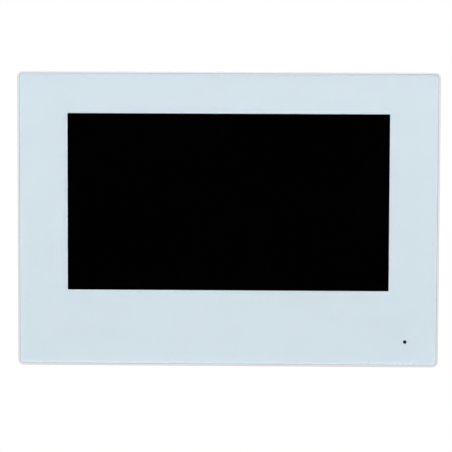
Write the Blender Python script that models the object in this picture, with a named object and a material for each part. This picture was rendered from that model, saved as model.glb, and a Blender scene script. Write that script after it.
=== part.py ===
"""Video intercom monitor: a slim 7-inch indoor station that hangs on a steel wall plate.

All lengths are in metres. X is to the right as seen from the room, Y goes into the wall and Z is up.
The origin lies on the wall plane, midway between the two box screws of the wall plate.
"""
from math import cos, radians, sin, tan, tau

import bmesh
import bpy
from mathutils import Matrix, Vector

# Front, as seen from the room
SCREEN_W = 0.1526
SCREEN_H = 0.0840
BORDER_SIDE = 0.0237
BORDER_TOP = 0.0198
BORDER_BOTTOM = 0.0362
CORNER_R = 0.0028
INNER_R = 0.0006       # least radius of an inside corner
RIM_W = 0.0009
RIM_DROP = 0.0002
RIM_ROUND = 0.0004
GLASS_EDGE = 0.0002
MIC_FROM_SIDE = 0.0158
MIC_FROM_BOTTOM = 0.0121
MIC_HOLE_R = 0.0007

# Clearances
SEAT = 0.0001          # between pieces that rest on each other
SLIP = 0.0003          # between pieces that pass each other
BITE = 0.0004          # how far a joined boss or a cutter runs into its neighbour

# Thicknesses from the wall to the room
PLATE_T = 0.0012
PLATE_GAP = 0.0003
COVER_WALL = 0.0016
PART_ROOM = 0.0026     # room for the parts on the back of the main board
BOARD_T = 0.0012
STANDOFF_H = 0.0006
CHASSIS_T = 0.0008
TRAY_FLOOR = 0.0004
GUIDE_T = 0.0009
FILM_T = 0.00025
CELL_T = 0.00085
CELL_DROP = 0.0002
FOAM_T = 0.0005
LEDGE_T = 0.0012
TAPE_T = 0.0003
PRINT_T = 0.0001
GLASS_T = 0.0011

# Front frame and rear cover
FRAME_DEPTH = 0.0085   # side wall of the frame, from the glass face to the parting line
FRAME_WALL = 0.0018
FRAME_DRAFT = 0.0003
LEDGE_OPEN = 0.0028    # opening of the ledge past the visible screen
COVER_STEP = 0.0006    # shadow step of the cover behind the frame
COVER_LAND = 0.0017    # straight band of the cover before its slope
BACK_INSET = 0.0040
BACK_ROUND = 0.0006
WALL_GAP = 0.0006      # the cover stays clear of the wall
LIP_H = 0.0010
LIP_T = 0.0009
POST_R = 0.0026
BOSS_R = 0.0031
COVER_SCREW_INSET = 0.0075
VENT_COUNT = 14
VENT_PITCH = 0.0040
VENT_W = 0.0016
VENT_H = 0.0100
VENT_FROM_TOP = 0.0150
SLOT_END = 0.45        # rounding of a slot's ends, as a share of its width

# Screws
SCREW_R = 0.0011
SCREW_HEAD_R = 0.0020
SCREW_HEAD_H = 0.0012
COVER_SCREW_LENGTH = 0.0065
CHASSIS_SCREW_LENGTH = 0.0036
BOARD_SCREW_LENGTH = 0.0018
SPEAKER_SCREW_LENGTH = 0.0028
HEAD_FLAT = 0.6        # share of a screw or rivet head's radius that is flat
HEAD_CROWN = 0.4       # share of a screw head's height that is rounded

# Screen module
LCD_EDGE_SIDE = 0.0057
LCD_EDGE_END = 0.0070
TRAY_WALL = 0.0008
LED_STRIP_H = 0.0022
LED_COUNT = 14
LED_PITCH = 0.0104
LED_W = 0.0036
LED_STRIP_T = 0.0005
SENSOR_T = 0.0005
FLEX_T = 0.0002
LCD_FLEX_W = 0.0280
TOUCH_FLEX_W = 0.0080
TOUCH_FLEX_GAP = 0.0035    # from the network socket to the touch connector
FLEX_BEND = 0.0005
FLEX_TAIL = 0.0020
CHASSIS_POST_OUT = 0.0048   # chassis screw posts past the screen module
CHASSIS_POST_Z = 0.0300
TAPE_INSET = 0.0010
TAPE_W = 0.0060

# Main board and its parts
BOARD_HALF = 0.0390
BOARD_TOP = 0.0500
BOARD_SCREW_IN = 0.0036
BOARD_SCREW_SPAN = 0.0450
CONNECTOR_H = 0.0010
LCD_CONNECTOR = (0.0300, 0.0046)
TOUCH_CONNECTOR = (0.0110, 0.0040)
SHIELD = (0.0260, 0.0310, 0.0021)
SHIELD_SHEET = 0.0003
SHIELD_GAP = 0.0032    # from the latch channel to the shield can
CHIP_BEVEL = 0.17      # share of a chip's thickness
PROCESSOR = (0.0150, 0.0150, 0.0012)
MEMORY = (0.0130, 0.0090, 0.0010)
WIRELESS = (0.0160, 0.0120, 0.0018)
INDUCTOR = (0.0100, 0.0100, 0.0020)
TRANSFORMER = (0.0150, 0.0120, 0.0024)
TRANSFORMER_GAP = 0.0057   # from the network socket to the transformer

# Connector bay in the rear cover
BAY_W = 0.0520
BAY_WALL = 0.0012
WELL_H = 0.0175
JACK_LENGTH = 0.0175
JACK_W = 0.0155
JACK_DEEP = 0.0094
PORT_W = 0.0119
PORT_DEEP = 0.0074
PORT_LENGTH = 0.0140
CONTACT_COUNT = 8
CONTACT_PITCH = 0.00102
CONTACT_W = 0.0005
POWER_SIZE = (0.0085, 0.0072, 0.0100)
ALARM_SIZE = (0.0060, 0.0023, 0.0155)
SERVICE_SIZE = (0.0055, 0.0023, 0.0080)
CARD_SIZE = (0.0112, 0.0019, 0.0130)
SOCKET_WALL = 0.0006
POWER_PIN_COUNT = 2
ALARM_PIN_COUNT = 10
SERVICE_PIN_COUNT = 4
PIN_T = 0.0004

# Loudspeaker and microphone
SPEAKER_W = 0.0340
SPEAKER_MARGIN = 0.0028    # from the speaker to the ends of the space below the screen
SPEAKER_R = 0.0060
SPEAKER_DEPTH = 0.0062
SPEAKER_WALL = 0.0008
SPEAKER_RIM = 0.0020
SPEAKER_RIM_T = 0.0010
SPEAKER_GASKET_T = 0.0008
SPEAKER_ROOM = 0.0026  # from the speaker's ears to the housing wall and to the board
CONE_TRAVEL = 0.0004
COIL_R = 0.0039
COIL_T = 0.0005
MAGNET_R = 0.0055
MAGNET_H = 0.0032
GRILLE_COUNT = 9
GRILLE_PITCH = 0.0028
GRILLE_W = 0.0014
MIC_R = 0.0030
MIC_H = 0.0022
MIC_BEVEL = 0.0004
BOOT_WALL = 0.0009
NOSE_WALL = 0.0008

# Antenna
ANTENNA_T = 0.0004
ANTENNA_L = 0.0350
ANTENNA_W = 0.0036
LEAD_R = 0.0006
LEAD_STEP = 0.0030     # spacing of a lead's points

# Wall plate
PLATE_W = 0.1160
PLATE_H = 0.0660
PLATE_R = 0.0040
PLATE_BAR = 0.0180     # central bar that carries the box screws
PLATE_RAIL = 0.0050
WINDOW_W = 0.0480
BOX_SCREW_SPAN = 0.0600
BOX_SLOT_L = 0.0100
BOX_SLOT_W = 0.0045
CORNER_HOLE_R = 0.0022
CORNER_HOLE_INSET = 0.0045
RECESS_MARGIN = 0.0010
LIFT = 0.0070
HOOK_W = 0.0080
HOOK_H = 0.0070
HOOK_SPAN = 0.0920
HOOK_UPPER_Z = 0.0120
HOOK_LOWER_Z = -0.0240
POCKET_WALL = 0.0008
LATCH_W = 0.0090
LATCH_T = 0.0004
LATCH_LENGTH = 0.0230
LATCH_BUMP = 0.0011
LATCH_BUMP_L = 0.0050
LATCH_LEAN = 0.0004
RIVET_R = 0.0012
RIVET_HEAD_R = 0.0018

# Places worked out across the depth, negative towards the room
RECESS_Y = -(PLATE_T + PLATE_GAP)
WEB_Y = RECESS_Y - COVER_WALL
BOARD_BACK = WEB_Y - PART_ROOM
BOARD_FRONT = BOARD_BACK - BOARD_T
CHASSIS_BACK = BOARD_FRONT - SEAT - STANDOFF_H
CHASSIS_FRONT = CHASSIS_BACK - CHASSIS_T
TRAY_BACK = CHASSIS_FRONT - SEAT
GUIDE_BACK = TRAY_BACK - TRAY_FLOOR - SEAT
GUIDE_FRONT = GUIDE_BACK - GUIDE_T
FILM_BACK = GUIDE_FRONT - SEAT
FILM_FRONT = FILM_BACK - FILM_T
CELL_BACK = FILM_FRONT - SEAT
CELL_FRONT = CELL_BACK - CELL_T
TRAY_FRONT = CELL_FRONT - CELL_DROP
FOAM_BACK = TRAY_FRONT - SEAT
FOAM_FRONT = FOAM_BACK - FOAM_T
LEDGE_BACK = FOAM_FRONT - SEAT
LEDGE_FRONT = LEDGE_BACK - LEDGE_T
TAPE_BACK = LEDGE_FRONT - SEAT
TAPE_FRONT = TAPE_BACK - TAPE_T
PRINT_BACK = TAPE_FRONT - SEAT
PRINT_FRONT = PRINT_BACK - PRINT_T
GLASS_BACK = PRINT_FRONT - SEAT
GLASS_FRONT = GLASS_BACK - GLASS_T
PARTING = GLASS_FRONT + FRAME_DEPTH
COVER_FRONT = PARTING + SEAT
COVER_BACK = -WALL_GAP
COVER_INNER = COVER_BACK - COVER_WALL

# Places worked out across the front
BODY_W = SCREEN_W + 2 * BORDER_SIDE
BODY_H = BORDER_TOP + SCREEN_H + BORDER_BOTTOM
SCREEN_Z = BODY_H / 2 - BORDER_TOP - SCREEN_H / 2
GLASS_INSET = RIM_W + SEAT
OPEN_W = SCREEN_W + 2 * LEDGE_OPEN
OPEN_H = SCREEN_H + 2 * LEDGE_OPEN
LCD_W = SCREEN_W + 2 * LCD_EDGE_SIDE
LCD_H = SCREEN_H + 2 * LCD_EDGE_END
LCD_TOP = SCREEN_Z + LCD_H / 2
LCD_BOTTOM = SCREEN_Z - LCD_H / 2
INNER_W = BODY_W - 2 * FRAME_WALL
INNER_H = BODY_H - 2 * FRAME_WALL
MIC_AT = (BODY_W / 2 - MIC_FROM_SIDE, MIC_FROM_BOTTOM - BODY_H / 2)
NOSE_R = MIC_HOLE_R + SLIP + NOSE_WALL
BAY_HALF = BAY_W / 2
BAY_TOP = -PLATE_BAR / 2 + RECESS_MARGIN
BAY_FLOOR_FRONT = CHASSIS_BACK + SLIP
BAY_FLOOR = BAY_FLOOR_FRONT + BAY_WALL
RECESS_BOTTOM = -PLATE_H / 2 - LIFT - RECESS_MARGIN
DEEP_TOP = min(LCD_BOTTOM, RECESS_BOTTOM - COVER_WALL)     # deep parts stay below this
WELL_TOP = DEEP_TOP - SLIP - BAY_WALL
WELL_BOTTOM = WELL_TOP - WELL_H
WELL_FLOOR_FRONT = LEDGE_BACK + SLIP
WELL_FLOOR = WELL_FLOOR_FRONT + BAY_WALL
ARM_X = BAY_HALF + BAY_WALL + SLIP
JACK_END = ARM_X + JACK_LENGTH
TOUCH_FLEX_X = JACK_END + TOUCH_FLEX_GAP + TOUCH_CONNECTOR[0] / 2
HOOK_X = HOOK_SPAN / 2
HOOK_BACK = WEB_Y - SLIP
HOOK_FRONT = HOOK_BACK - PLATE_T
POCKET_FLOOR = HOOK_FRONT - SLIP
FOOT_TOP = HOOK_LOWER_Z - LIFT - RECESS_MARGIN - POCKET_WALL - RECESS_MARGIN
BOARD_BOTTOM = WELL_BOTTOM - BAY_WALL
SPEAKER_REACH = SPEAKER_W / 2 + SLIP + 2 * POST_R + SPEAKER_RIM_T
SPEAKER_X = SPEAKER_ROOM + SPEAKER_REACH - INNER_W / 2
SPEAKER_Z = (DEEP_TOP - INNER_H / 2) / 2
SPEAKER_H = DEEP_TOP + INNER_H / 2 - 2 * SPEAKER_MARGIN
BOARD_LEFT_FOOT = -SPEAKER_X - SPEAKER_REACH - SPEAKER_ROOM
BOARD_RIGHT_FOOT = JACK_END + TRANSFORMER_GAP + TRANSFORMER[0] + SLIP
SPEAKER_BACK = COVER_INNER - SEAT - SPEAKER_GASKET_T - SEAT
LATCH_TOP = PLATE_H / 2 - RECESS_MARGIN
LATCH_BACK = -(PLATE_T + SEAT)
LATCH_BUMP_Z = LATCH_TOP - LATCH_LENGTH + LATCH_BUMP_L
CHANNEL_Y = LATCH_BACK - LATCH_LEAN - LATCH_T - SLIP
NOTCH_Y = CHANNEL_Y - LATCH_BUMP

# Finishes: linear colour, roughness, metallic
FINISHES = {
    "clear_glass": ((0.90, 0.95, 0.97), 0.03, 0.0),
    "white_print": ((0.66, 0.74, 0.80), 0.30, 0.0),
    "white_plastic": ((0.70, 0.73, 0.77), 0.35, 0.0),
    "black_screen": ((0.004, 0.004, 0.005), 0.10, 0.0),
    "clear_acrylic": ((0.80, 0.82, 0.84), 0.10, 0.0),
    "film": ((0.75, 0.76, 0.78), 0.50, 0.0),
    "steel": ((0.48, 0.48, 0.47), 0.38, 1.0),
    "tin_plate": ((0.60, 0.60, 0.58), 0.30, 1.0),
    "board_green": ((0.010, 0.090, 0.035), 0.40, 0.0),
    "black_plastic": ((0.012, 0.012, 0.013), 0.45, 0.0),
    "green_plastic": ((0.020, 0.220, 0.070), 0.45, 0.0),
    "ivory_plastic": ((0.74, 0.70, 0.60), 0.45, 0.0),
    "amber_flex": ((0.42, 0.15, 0.020), 0.35, 0.0),
    "foam": ((0.020, 0.020, 0.020), 0.90, 0.0),
    "rubber": ((0.015, 0.015, 0.016), 0.75, 0.0),
    "paper_cone": ((0.020, 0.020, 0.022), 0.80, 0.0),
    "ferrite": ((0.050, 0.050, 0.055), 0.60, 0.3),
    "tape": ((0.030, 0.030, 0.030), 0.70, 0.0),
    "copper": ((0.70, 0.32, 0.16), 0.35, 1.0),
    "wire_black": ((0.015, 0.015, 0.015), 0.50, 0.0),
}
SMOOTH_BELOW = radians(35)


def finish(name):
    """Principled material with one of the finishes above, made once."""
    if name in bpy.data.materials:
        return bpy.data.materials[name]
    material = bpy.data.materials.new(name)
    material.use_nodes = True
    shader = material.node_tree.nodes["Principled BSDF"]
    colour, roughness, metallic = FINISHES[name]
    shader.inputs["Base Color"].default_value = (*colour, 1.0)
    shader.inputs["Roughness"].default_value = roughness
    shader.inputs["Metallic"].default_value = metallic
    material.diffuse_color = (*colour, 1.0)
    return material


def as_object(name, build, material=None, at=(0.0, 0.0)):
    """Object from a finished bmesh, placed at x and z. A cutter has no material."""
    bmesh.ops.recalc_face_normals(build, faces=build.faces)
    mesh = bpy.data.meshes.new(name)
    build.to_mesh(mesh)
    build.free()
    piece = bpy.data.objects.new(name, mesh)
    piece.location = (at[0], 0.0, at[1])
    bpy.context.collection.objects.link(piece)
    if material:
        mesh.materials.append(finish(material))
    else:
        piece.hide_render = True
        piece.display_type = "WIRE"
    return piece


def rounded(width, height, radius, steps=3):
    """Outline of a rounded rectangle about the origin."""
    points = []
    for side_x, side_z, start in ((1, 1, 0), (-1, 1, 90), (-1, -1, 180), (1, -1, 270)):
        for step in range(steps + 1):
            angle = radians(start + 90 * step / steps)
            x = side_x * (width / 2 - radius) + radius * cos(angle)
            z = side_z * (height / 2 - radius) + radius * sin(angle)
            points.append((x, z))
    return points


def body_outline(inset, radius=None):
    """Outline of the body seen from the room, set in from its edge."""
    radius = radius or max(CORNER_R - inset, INNER_R)
    return rounded(BODY_W - 2 * inset, BODY_H - 2 * inset, radius, steps=5)


def circle(radius, sides):
    return [(radius * cos(tau * i / sides), radius * sin(tau * i / sides)) for i in range(sides)]


def loft(name, loops, material=None, at=(0.0, 0.0), ring=False):
    """Solid through loops, each a depth and an outline of as many points. A ring closes on itself."""
    build = bmesh.new()
    rows = [[build.verts.new((x, depth, z)) for x, z in outline] for depth, outline in loops]
    spans = list(zip(rows, rows[1:]))
    if ring:
        spans.append((rows[-1], rows[0]))
    else:
        build.faces.new(rows[0])
        build.faces.new(rows[-1])
    for near, far in spans:
        for i in range(len(near)):
            build.faces.new((near[i - 1], near[i], far[i], far[i - 1]))
    return as_object(name, build, material, at)


def prism(name, outline, front, back, material=None, at=(0.0, 0.0)):
    """Outline extruded straight through the depth."""
    build = bmesh.new()
    face = build.faces.new([build.verts.new((x, front, z)) for x, z in outline])
    grown = bmesh.ops.extrude_face_region(build, geom=[face])
    moved = [item for item in grown["geom"] if isinstance(item, bmesh.types.BMVert)]
    bmesh.ops.translate(build, verts=moved, vec=(0.0, back - front, 0.0))
    return as_object(name, build, material, at)


def rod(radius, front, back, at, sides=12, name="rod", material=None):
    return prism(name, circle(radius, sides), front, back, material, at)


def box(x, y, z, name="box", material=None):
    """Box between two values on each axis."""
    build = bmesh.new()
    size = Matrix.Diagonal((x[1] - x[0], y[1] - y[0], z[1] - z[0], 1.0))
    bmesh.ops.create_cube(build, size=1.0, matrix=size)
    middle = Vector(((x[0] + x[1]) / 2, (y[0] + y[1]) / 2, (z[0] + z[1]) / 2))
    bmesh.ops.translate(build, verts=build.verts, vec=(0.0, middle.y, 0.0))
    return as_object(name, build, material, (middle.x, middle.z))


def turned(name, profile, material, at, sides):
    """Profile of (radius, depth) points spun about the depth axis."""
    build = bmesh.new()
    points = [build.verts.new((radius, depth, 0.0)) for radius, depth in profile]
    edges = [build.edges.new(pair) for pair in zip(points, points[1:])]
    bmesh.ops.spin(build, geom=points + edges, axis=(0, 1, 0), cent=(0, 0, 0), angle=tau, steps=sides)
    bmesh.ops.remove_doubles(build, verts=build.verts, dist=1e-6)
    return as_object(name, build, material, at)


def bent_path(points, radius, steps=4):
    """Route of (y, z) points with its inner corners rounded."""
    path = [Vector(points[0])]
    for before, corner, after in zip(points, points[1:], points[2:]):
        corner = Vector(corner)
        into = (Vector(before) - corner).normalized()
        away = (Vector(after) - corner).normalized()
        half = into.angle(away) / 2
        start = corner + into * radius / tan(half)
        end = corner + away * radius / tan(half)
        centre = corner + (into + away).normalized() * radius / sin(half)
        for step in range(steps + 1):
            spoke = (start - centre).normalized().slerp((end - centre).normalized(), step / steps)
            path.append(centre + spoke * radius)
    path.append(Vector(points[-1]))
    return path


def strip(name, path, thickness, width, x, material=None):
    """Bent sheet: a route in the YZ plane, given a thickness and a width along X."""
    left, right = [], []
    for i, point in enumerate(path):
        ahead = (path[min(i + 1, len(path) - 1)] - point)
        behind = (point - path[max(i - 1, 0)])
        ahead = (ahead if ahead.length else behind).normalized()
        behind = (behind if behind.length else ahead).normalized()
        normal = Vector((-(ahead + behind).y, (ahead + behind).x)).normalized()
        reach = thickness / 2 / max(0.5, normal.dot(Vector((-ahead.y, ahead.x))))
        left.append(point + normal * reach)
        right.append(point - normal * reach)
    build = bmesh.new()
    outline = left + right[::-1]
    face = build.faces.new([build.verts.new((-width / 2, p.x, p.y)) for p in outline])
    grown = bmesh.ops.extrude_face_region(build, geom=[face])
    moved = [item for item in grown["geom"] if isinstance(item, bmesh.types.BMVert)]
    bmesh.ops.translate(build, verts=moved, vec=(width, 0.0, 0.0))
    return as_object(name, build, material, (x, 0.0))


def lead(name, route, material):
    """Thin lead: a tube along a smooth curve through its route points."""
    points = [Vector(point) for point in route]
    padded = [points[0] * 2 - points[1]] + points + [points[-1] * 2 - points[-2]]
    smooth = []
    for a, b, c, d in zip(padded, padded[1:], padded[2:], padded[3:]):
        count = max(2, round((c - b).length / LEAD_STEP))
        for step in range(count):
            t = step / count
            smooth.append((b * 2 + (c - a) * t + (a * 2 - b * 5 + c * 4 - d) * t ** 2
                           + (b * 3 - a - c * 3 + d) * t ** 3) / 2)
    smooth.append(points[-1])
    curve = bpy.data.curves.new(name, "CURVE")
    curve.dimensions = "3D"
    curve.bevel_depth = LEAD_R
    curve.bevel_resolution = 2
    curve.use_fill_caps = True
    curve.render_resolution_u = 0
    spline = curve.splines.new("POLY")
    spline.points.add(len(smooth) - 1)
    for knot, place in zip(spline.points, smooth):
        knot.co = (*place, 1.0)
    curve.materials.append(finish(material))
    piece = bpy.data.objects.new(name, curve)
    bpy.context.collection.objects.link(piece)
    return piece


def combine(target, tools, operation):
    """Apply one Boolean with all the tools gathered into one mesh, and remove the tools."""
    bpy.context.view_layer.update()
    gathered = bmesh.new()
    for tool in tools:
        tool.data.transform(tool.matrix_world)
        gathered.from_mesh(tool.data)
        bpy.data.objects.remove(tool)
    cutter = as_object("cutter", gathered)
    modifier = target.modifiers.new(operation, "BOOLEAN")
    modifier.operation = operation
    modifier.solver = "EXACT"
    modifier.use_self = True
    modifier.object = cutter
    bpy.context.view_layer.update()
    graph = bpy.context.evaluated_depsgraph_get()
    result = bpy.data.meshes.new_from_object(target.evaluated_get(graph))
    target.modifiers.clear()
    old = target.data
    target.data = result
    bpy.data.meshes.remove(old)
    bpy.data.objects.remove(cutter)


def cut(target, *tools):
    combine(target, tools, "DIFFERENCE")


def join(target, *tools):
    combine(target, tools, "UNION")


def screw(name, at, seat, length, into):
    """Pan-head screw whose head rests on seat. It points into the room (-1) or into the wall (1)."""
    under = seat - into * SEAT
    top = under - into * SCREW_HEAD_H
    tip = under + into * length
    crown = top + into * SCREW_HEAD_H * HEAD_CROWN
    profile = [(0.0, top), (SCREW_HEAD_R * HEAD_FLAT, top), (SCREW_HEAD_R, crown), (SCREW_HEAD_R, under),
               (SCREW_R, under), (SCREW_R, tip - into * SCREW_R), (0.0, tip)]
    return turned(name, profile, "tin_plate", at, sides=10)


def cover_screw_places():
    x = BODY_W / 2 - COVER_SCREW_INSET
    z = BODY_H / 2 - COVER_SCREW_INSET
    return [(side * x, height) for height in (z, SCREEN_Z, -z) for side in (-1, 1)]


def chassis_screw_places():
    x = LCD_W / 2 + CHASSIS_POST_OUT
    return [(side * x, SCREEN_Z + up * CHASSIS_POST_Z) for up in (1, -1) for side in (-1, 1)]


def board_screw_places():
    x = BOARD_HALF - BOARD_SCREW_IN
    top = BOARD_TOP - BOARD_SCREW_IN
    return [(side * x, z) for z in (top, top - BOARD_SCREW_SPAN) for side in (-1, 1)]


def speaker_screw_places():
    reach = SPEAKER_W / 2 + POST_R + SLIP
    return [(SPEAKER_X + side * reach, SPEAKER_Z) for side in (-1, 1)]


def cover_glass():
    """Clear cover glass and the white border printed on its back, open at the screen."""
    full = body_outline(GLASS_INSET)
    edge = body_outline(GLASS_INSET + GLASS_EDGE)
    loops = [(GLASS_FRONT, edge), (GLASS_FRONT + GLASS_EDGE, full), (GLASS_BACK, full)]
    glass = loft("cover_glass", loops, "clear_glass")
    cut(glass, rod(MIC_HOLE_R, GLASS_FRONT - BITE, GLASS_BACK + BITE, MIC_AT))
    border = prism("border_print", full, PRINT_FRONT, PRINT_BACK, "white_print")
    cut(border, rod(MIC_HOLE_R, PRINT_FRONT - BITE, PRINT_BACK + BITE, MIC_AT),
        box((-SCREEN_W / 2, SCREEN_W / 2), (PRINT_FRONT - BITE, PRINT_BACK + BITE),
            (SCREEN_Z - SCREEN_H / 2, SCREEN_Z + SCREEN_H / 2)))


def panel_tape():
    outer = body_outline(GLASS_INSET + TAPE_INSET)
    inner = body_outline(GLASS_INSET + TAPE_INSET + TAPE_W)
    loops = [(TAPE_FRONT, outer), (TAPE_BACK, outer), (TAPE_BACK, inner), (TAPE_FRONT, inner)]
    loft("panel_tape", loops, "tape", ring=True)


def front_frame():
    """Moulded frame: thin rim round the glass, ledge with the screen opening, side walls and posts."""
    pocket = body_outline(RIM_W)
    loops = [(LEDGE_FRONT, pocket), (GLASS_FRONT + RIM_DROP, pocket)]
    for step in range(4):
        angle = radians(30 * step)
        inset = RIM_ROUND * (1 - sin(angle))
        drop = RIM_DROP + RIM_ROUND * (1 - cos(angle))
        loops.append((GLASS_FRONT + drop, body_outline(inset)))
    inner = body_outline(FRAME_WALL)
    loops += [(PARTING, body_outline(FRAME_DRAFT)), (PARTING, inner), (LEDGE_BACK, inner)]
    frame = loft("front_frame", loops, "white_plastic")
    boot_r = MIC_R + BOOT_WALL + SEAT
    boot_end = LEDGE_BACK + SEAT + BOOT_WALL + MIC_H
    join(frame,
         *[rod(POST_R, LEDGE_BACK - BITE, PARTING, at) for at in cover_screw_places()],
         *[rod(POST_R, LEDGE_BACK - BITE, CHASSIS_FRONT - SEAT, at) for at in chassis_screw_places()],
         rod(boot_r + BOOT_WALL, LEDGE_BACK - BITE, boot_end, MIC_AT, sides=20))
    hole_r = SCREW_R + SEAT
    opening = rounded(OPEN_W, OPEN_H, RIM_W)
    cut(frame,
        prism("opening", opening, LEDGE_FRONT - BITE, LEDGE_BACK + BITE, at=(0.0, SCREEN_Z)),
        *[rod(hole_r, LEDGE_BACK, PARTING + BITE, at) for at in cover_screw_places()],
        *[rod(hole_r, LEDGE_BACK, CHASSIS_BACK, at) for at in chassis_screw_places()],
        rod(boot_r, LEDGE_BACK, boot_end + BITE, MIC_AT, sides=20),
        rod(NOSE_R + SEAT, LEDGE_FRONT - BITE, LEDGE_BACK + BITE, MIC_AT))


def touch_panel():
    front = PRINT_BACK + SEAT
    back = front + SENSOR_T
    outline = rounded(OPEN_W - 2 * SLIP, OPEN_H - 2 * SLIP, RIM_W)
    prism("touch_sensor", outline, front, back, "clear_acrylic", (0.0, SCREEN_Z))
    bottom = SCREEN_Z - OPEN_H / 2 + SLIP
    on_sensor = back + SEAT + FLEX_T / 2
    behind_ledge = (LEDGE_BACK + TRAY_FRONT) / 2
    under_lcd = LCD_BOTTOM - SLIP - FLEX_BEND
    at_board = BOARD_FRONT - CONNECTOR_H / 2
    turn = bottom + FLEX_BEND + FLEX_T
    route = [(on_sensor, turn + FLEX_TAIL), (on_sensor, turn), (behind_ledge, turn),
             (behind_ledge, under_lcd), (at_board, under_lcd), (at_board, touch_connector_top() + SEAT)]
    path = bent_path(route, FLEX_BEND)
    strip("touch_flex", path, FLEX_T, TOUCH_FLEX_W, TOUCH_FLEX_X, "amber_flex")


def touch_connector_top():
    return LCD_BOTTOM - SLIP - FLEX_TAIL


def screen_module():
    """LCD: a steel tray with its LED strip, light guide, diffuser film and cell, foam in front."""
    at = (0.0, SCREEN_Z)
    outer = rounded(LCD_W, LCD_H, RIM_W + TRAY_WALL)
    inside_w = LCD_W - 2 * TRAY_WALL
    inside_h = LCD_H - 2 * TRAY_WALL
    inner = rounded(inside_w, inside_h, RIM_W)
    floor = TRAY_BACK - TRAY_FLOOR
    tray = loft("lcd_tray", [(TRAY_BACK, outer), (TRAY_FRONT, outer), (TRAY_FRONT, inner), (floor, inner)],
                "steel", at)
    notch = LCD_FLEX_W / 2 + SLIP
    cut(tray, box((-notch, notch), (TRAY_FRONT - BITE, CELL_BACK),
                  (LCD_TOP - TRAY_WALL - BITE, LCD_TOP + BITE)))
    fit = rounded(inside_w - 2 * SLIP, inside_h - 2 * SLIP, RIM_W)
    prism("lcd_cell", fit, CELL_FRONT, CELL_BACK, "black_screen", at)
    prism("diffuser_film", fit, FILM_FRONT, FILM_BACK, "film", at)
    strip_bottom = SCREEN_Z - inside_h / 2 + SLIP
    guide_bottom = strip_bottom + LED_STRIP_H + SLIP
    guide_top = SCREEN_Z + inside_h / 2 - SLIP
    guide_h = guide_top - guide_bottom
    guide = rounded(inside_w - 2 * SLIP, guide_h, RIM_W)
    guide_at = (0.0, (guide_top + guide_bottom) / 2)
    prism("light_guide", guide, GUIDE_FRONT, GUIDE_BACK, "clear_acrylic", guide_at)
    led_strip(strip_bottom)
    foam_w = LCD_W - 2 * SLIP
    foam_h = LCD_H - 2 * SLIP
    outer = rounded(foam_w, foam_h, RIM_W)
    inner = rounded(OPEN_W + 2 * SLIP, OPEN_H + 2 * SLIP, RIM_W)
    loops = [(FOAM_FRONT, outer), (FOAM_BACK, outer), (FOAM_BACK, inner), (FOAM_FRONT, inner)]
    foam = loft("lcd_foam", loops, "foam", at, ring=True)
    gap = TOUCH_FLEX_W / 2 + SLIP
    cut(foam, box((TOUCH_FLEX_X - gap, TOUCH_FLEX_X + gap), (FOAM_FRONT - BITE, FOAM_BACK + BITE),
                  (LCD_BOTTOM - BITE, SCREEN_Z - OPEN_H / 2 + BITE)))
    middle = (CELL_FRONT + CELL_BACK) / 2
    over = LCD_TOP + SLIP + 2 * FLEX_BEND
    at_board = BOARD_BACK + CONNECTOR_H / 2
    path = bent_path([(middle, LCD_TOP - TRAY_WALL), (middle, over), (at_board, over),
                      (at_board, BOARD_TOP - SLIP + SEAT)], 2 * FLEX_BEND)
    strip("lcd_flex", path, FLEX_T, LCD_FLEX_W, 0.0, "amber_flex")


def led_strip(bottom):
    """Narrow strip along the lower edge of the light guide, with a row of LEDs."""
    half = (LED_COUNT - 1) * LED_PITCH / 2 + LED_W
    base = box((-half, half), (GUIDE_FRONT, GUIDE_BACK), (bottom, bottom + LED_STRIP_T),
               "led_strip", "ivory_plastic")
    first = -(LED_COUNT - 1) * LED_PITCH / 2
    places = [first + LED_PITCH * i for i in range(LED_COUNT)]
    inset = GUIDE_T / 8
    join(base, *[box((x - LED_W / 2, x + LED_W / 2), (GUIDE_FRONT + inset, GUIDE_BACK - inset),
                     (bottom + LED_STRIP_T - LED_STRIP_T / 4, bottom + LED_STRIP_H)) for x in places])


def chassis_plate():
    """Steel sheet that clamps the screen module to the frame and carries the main board."""
    outline = rounded(LCD_W, LCD_H, RIM_W + TRAY_WALL)
    plate = prism("chassis_plate", outline, CHASSIS_FRONT, CHASSIS_BACK, "steel", (0.0, SCREEN_Z))
    tab_w = 2 * (CHASSIS_POST_OUT + POST_R)
    tabs = [prism("tab", rounded(tab_w, 2 * POST_R + 2 * SCREW_R, SCREW_R), CHASSIS_FRONT, CHASSIS_BACK,
                  at=((LCD_W / 2) * (1 if x > 0 else -1), z)) for x, z in chassis_screw_places()]
    join(plate, *tabs)
    standoff_r = SCREW_HEAD_R + SLIP
    join(plate, *[rod(standoff_r, CHASSIS_FRONT + CHASSIS_T / 2, CHASSIS_BACK + STANDOFF_H, at)
                  for at in board_screw_places()])
    hole_r = SCREW_R + SEAT
    cut(plate, *[rod(hole_r, CHASSIS_FRONT - BITE, CHASSIS_BACK + STANDOFF_H + BITE, at)
                 for at in board_screw_places() + chassis_screw_places()])


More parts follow.
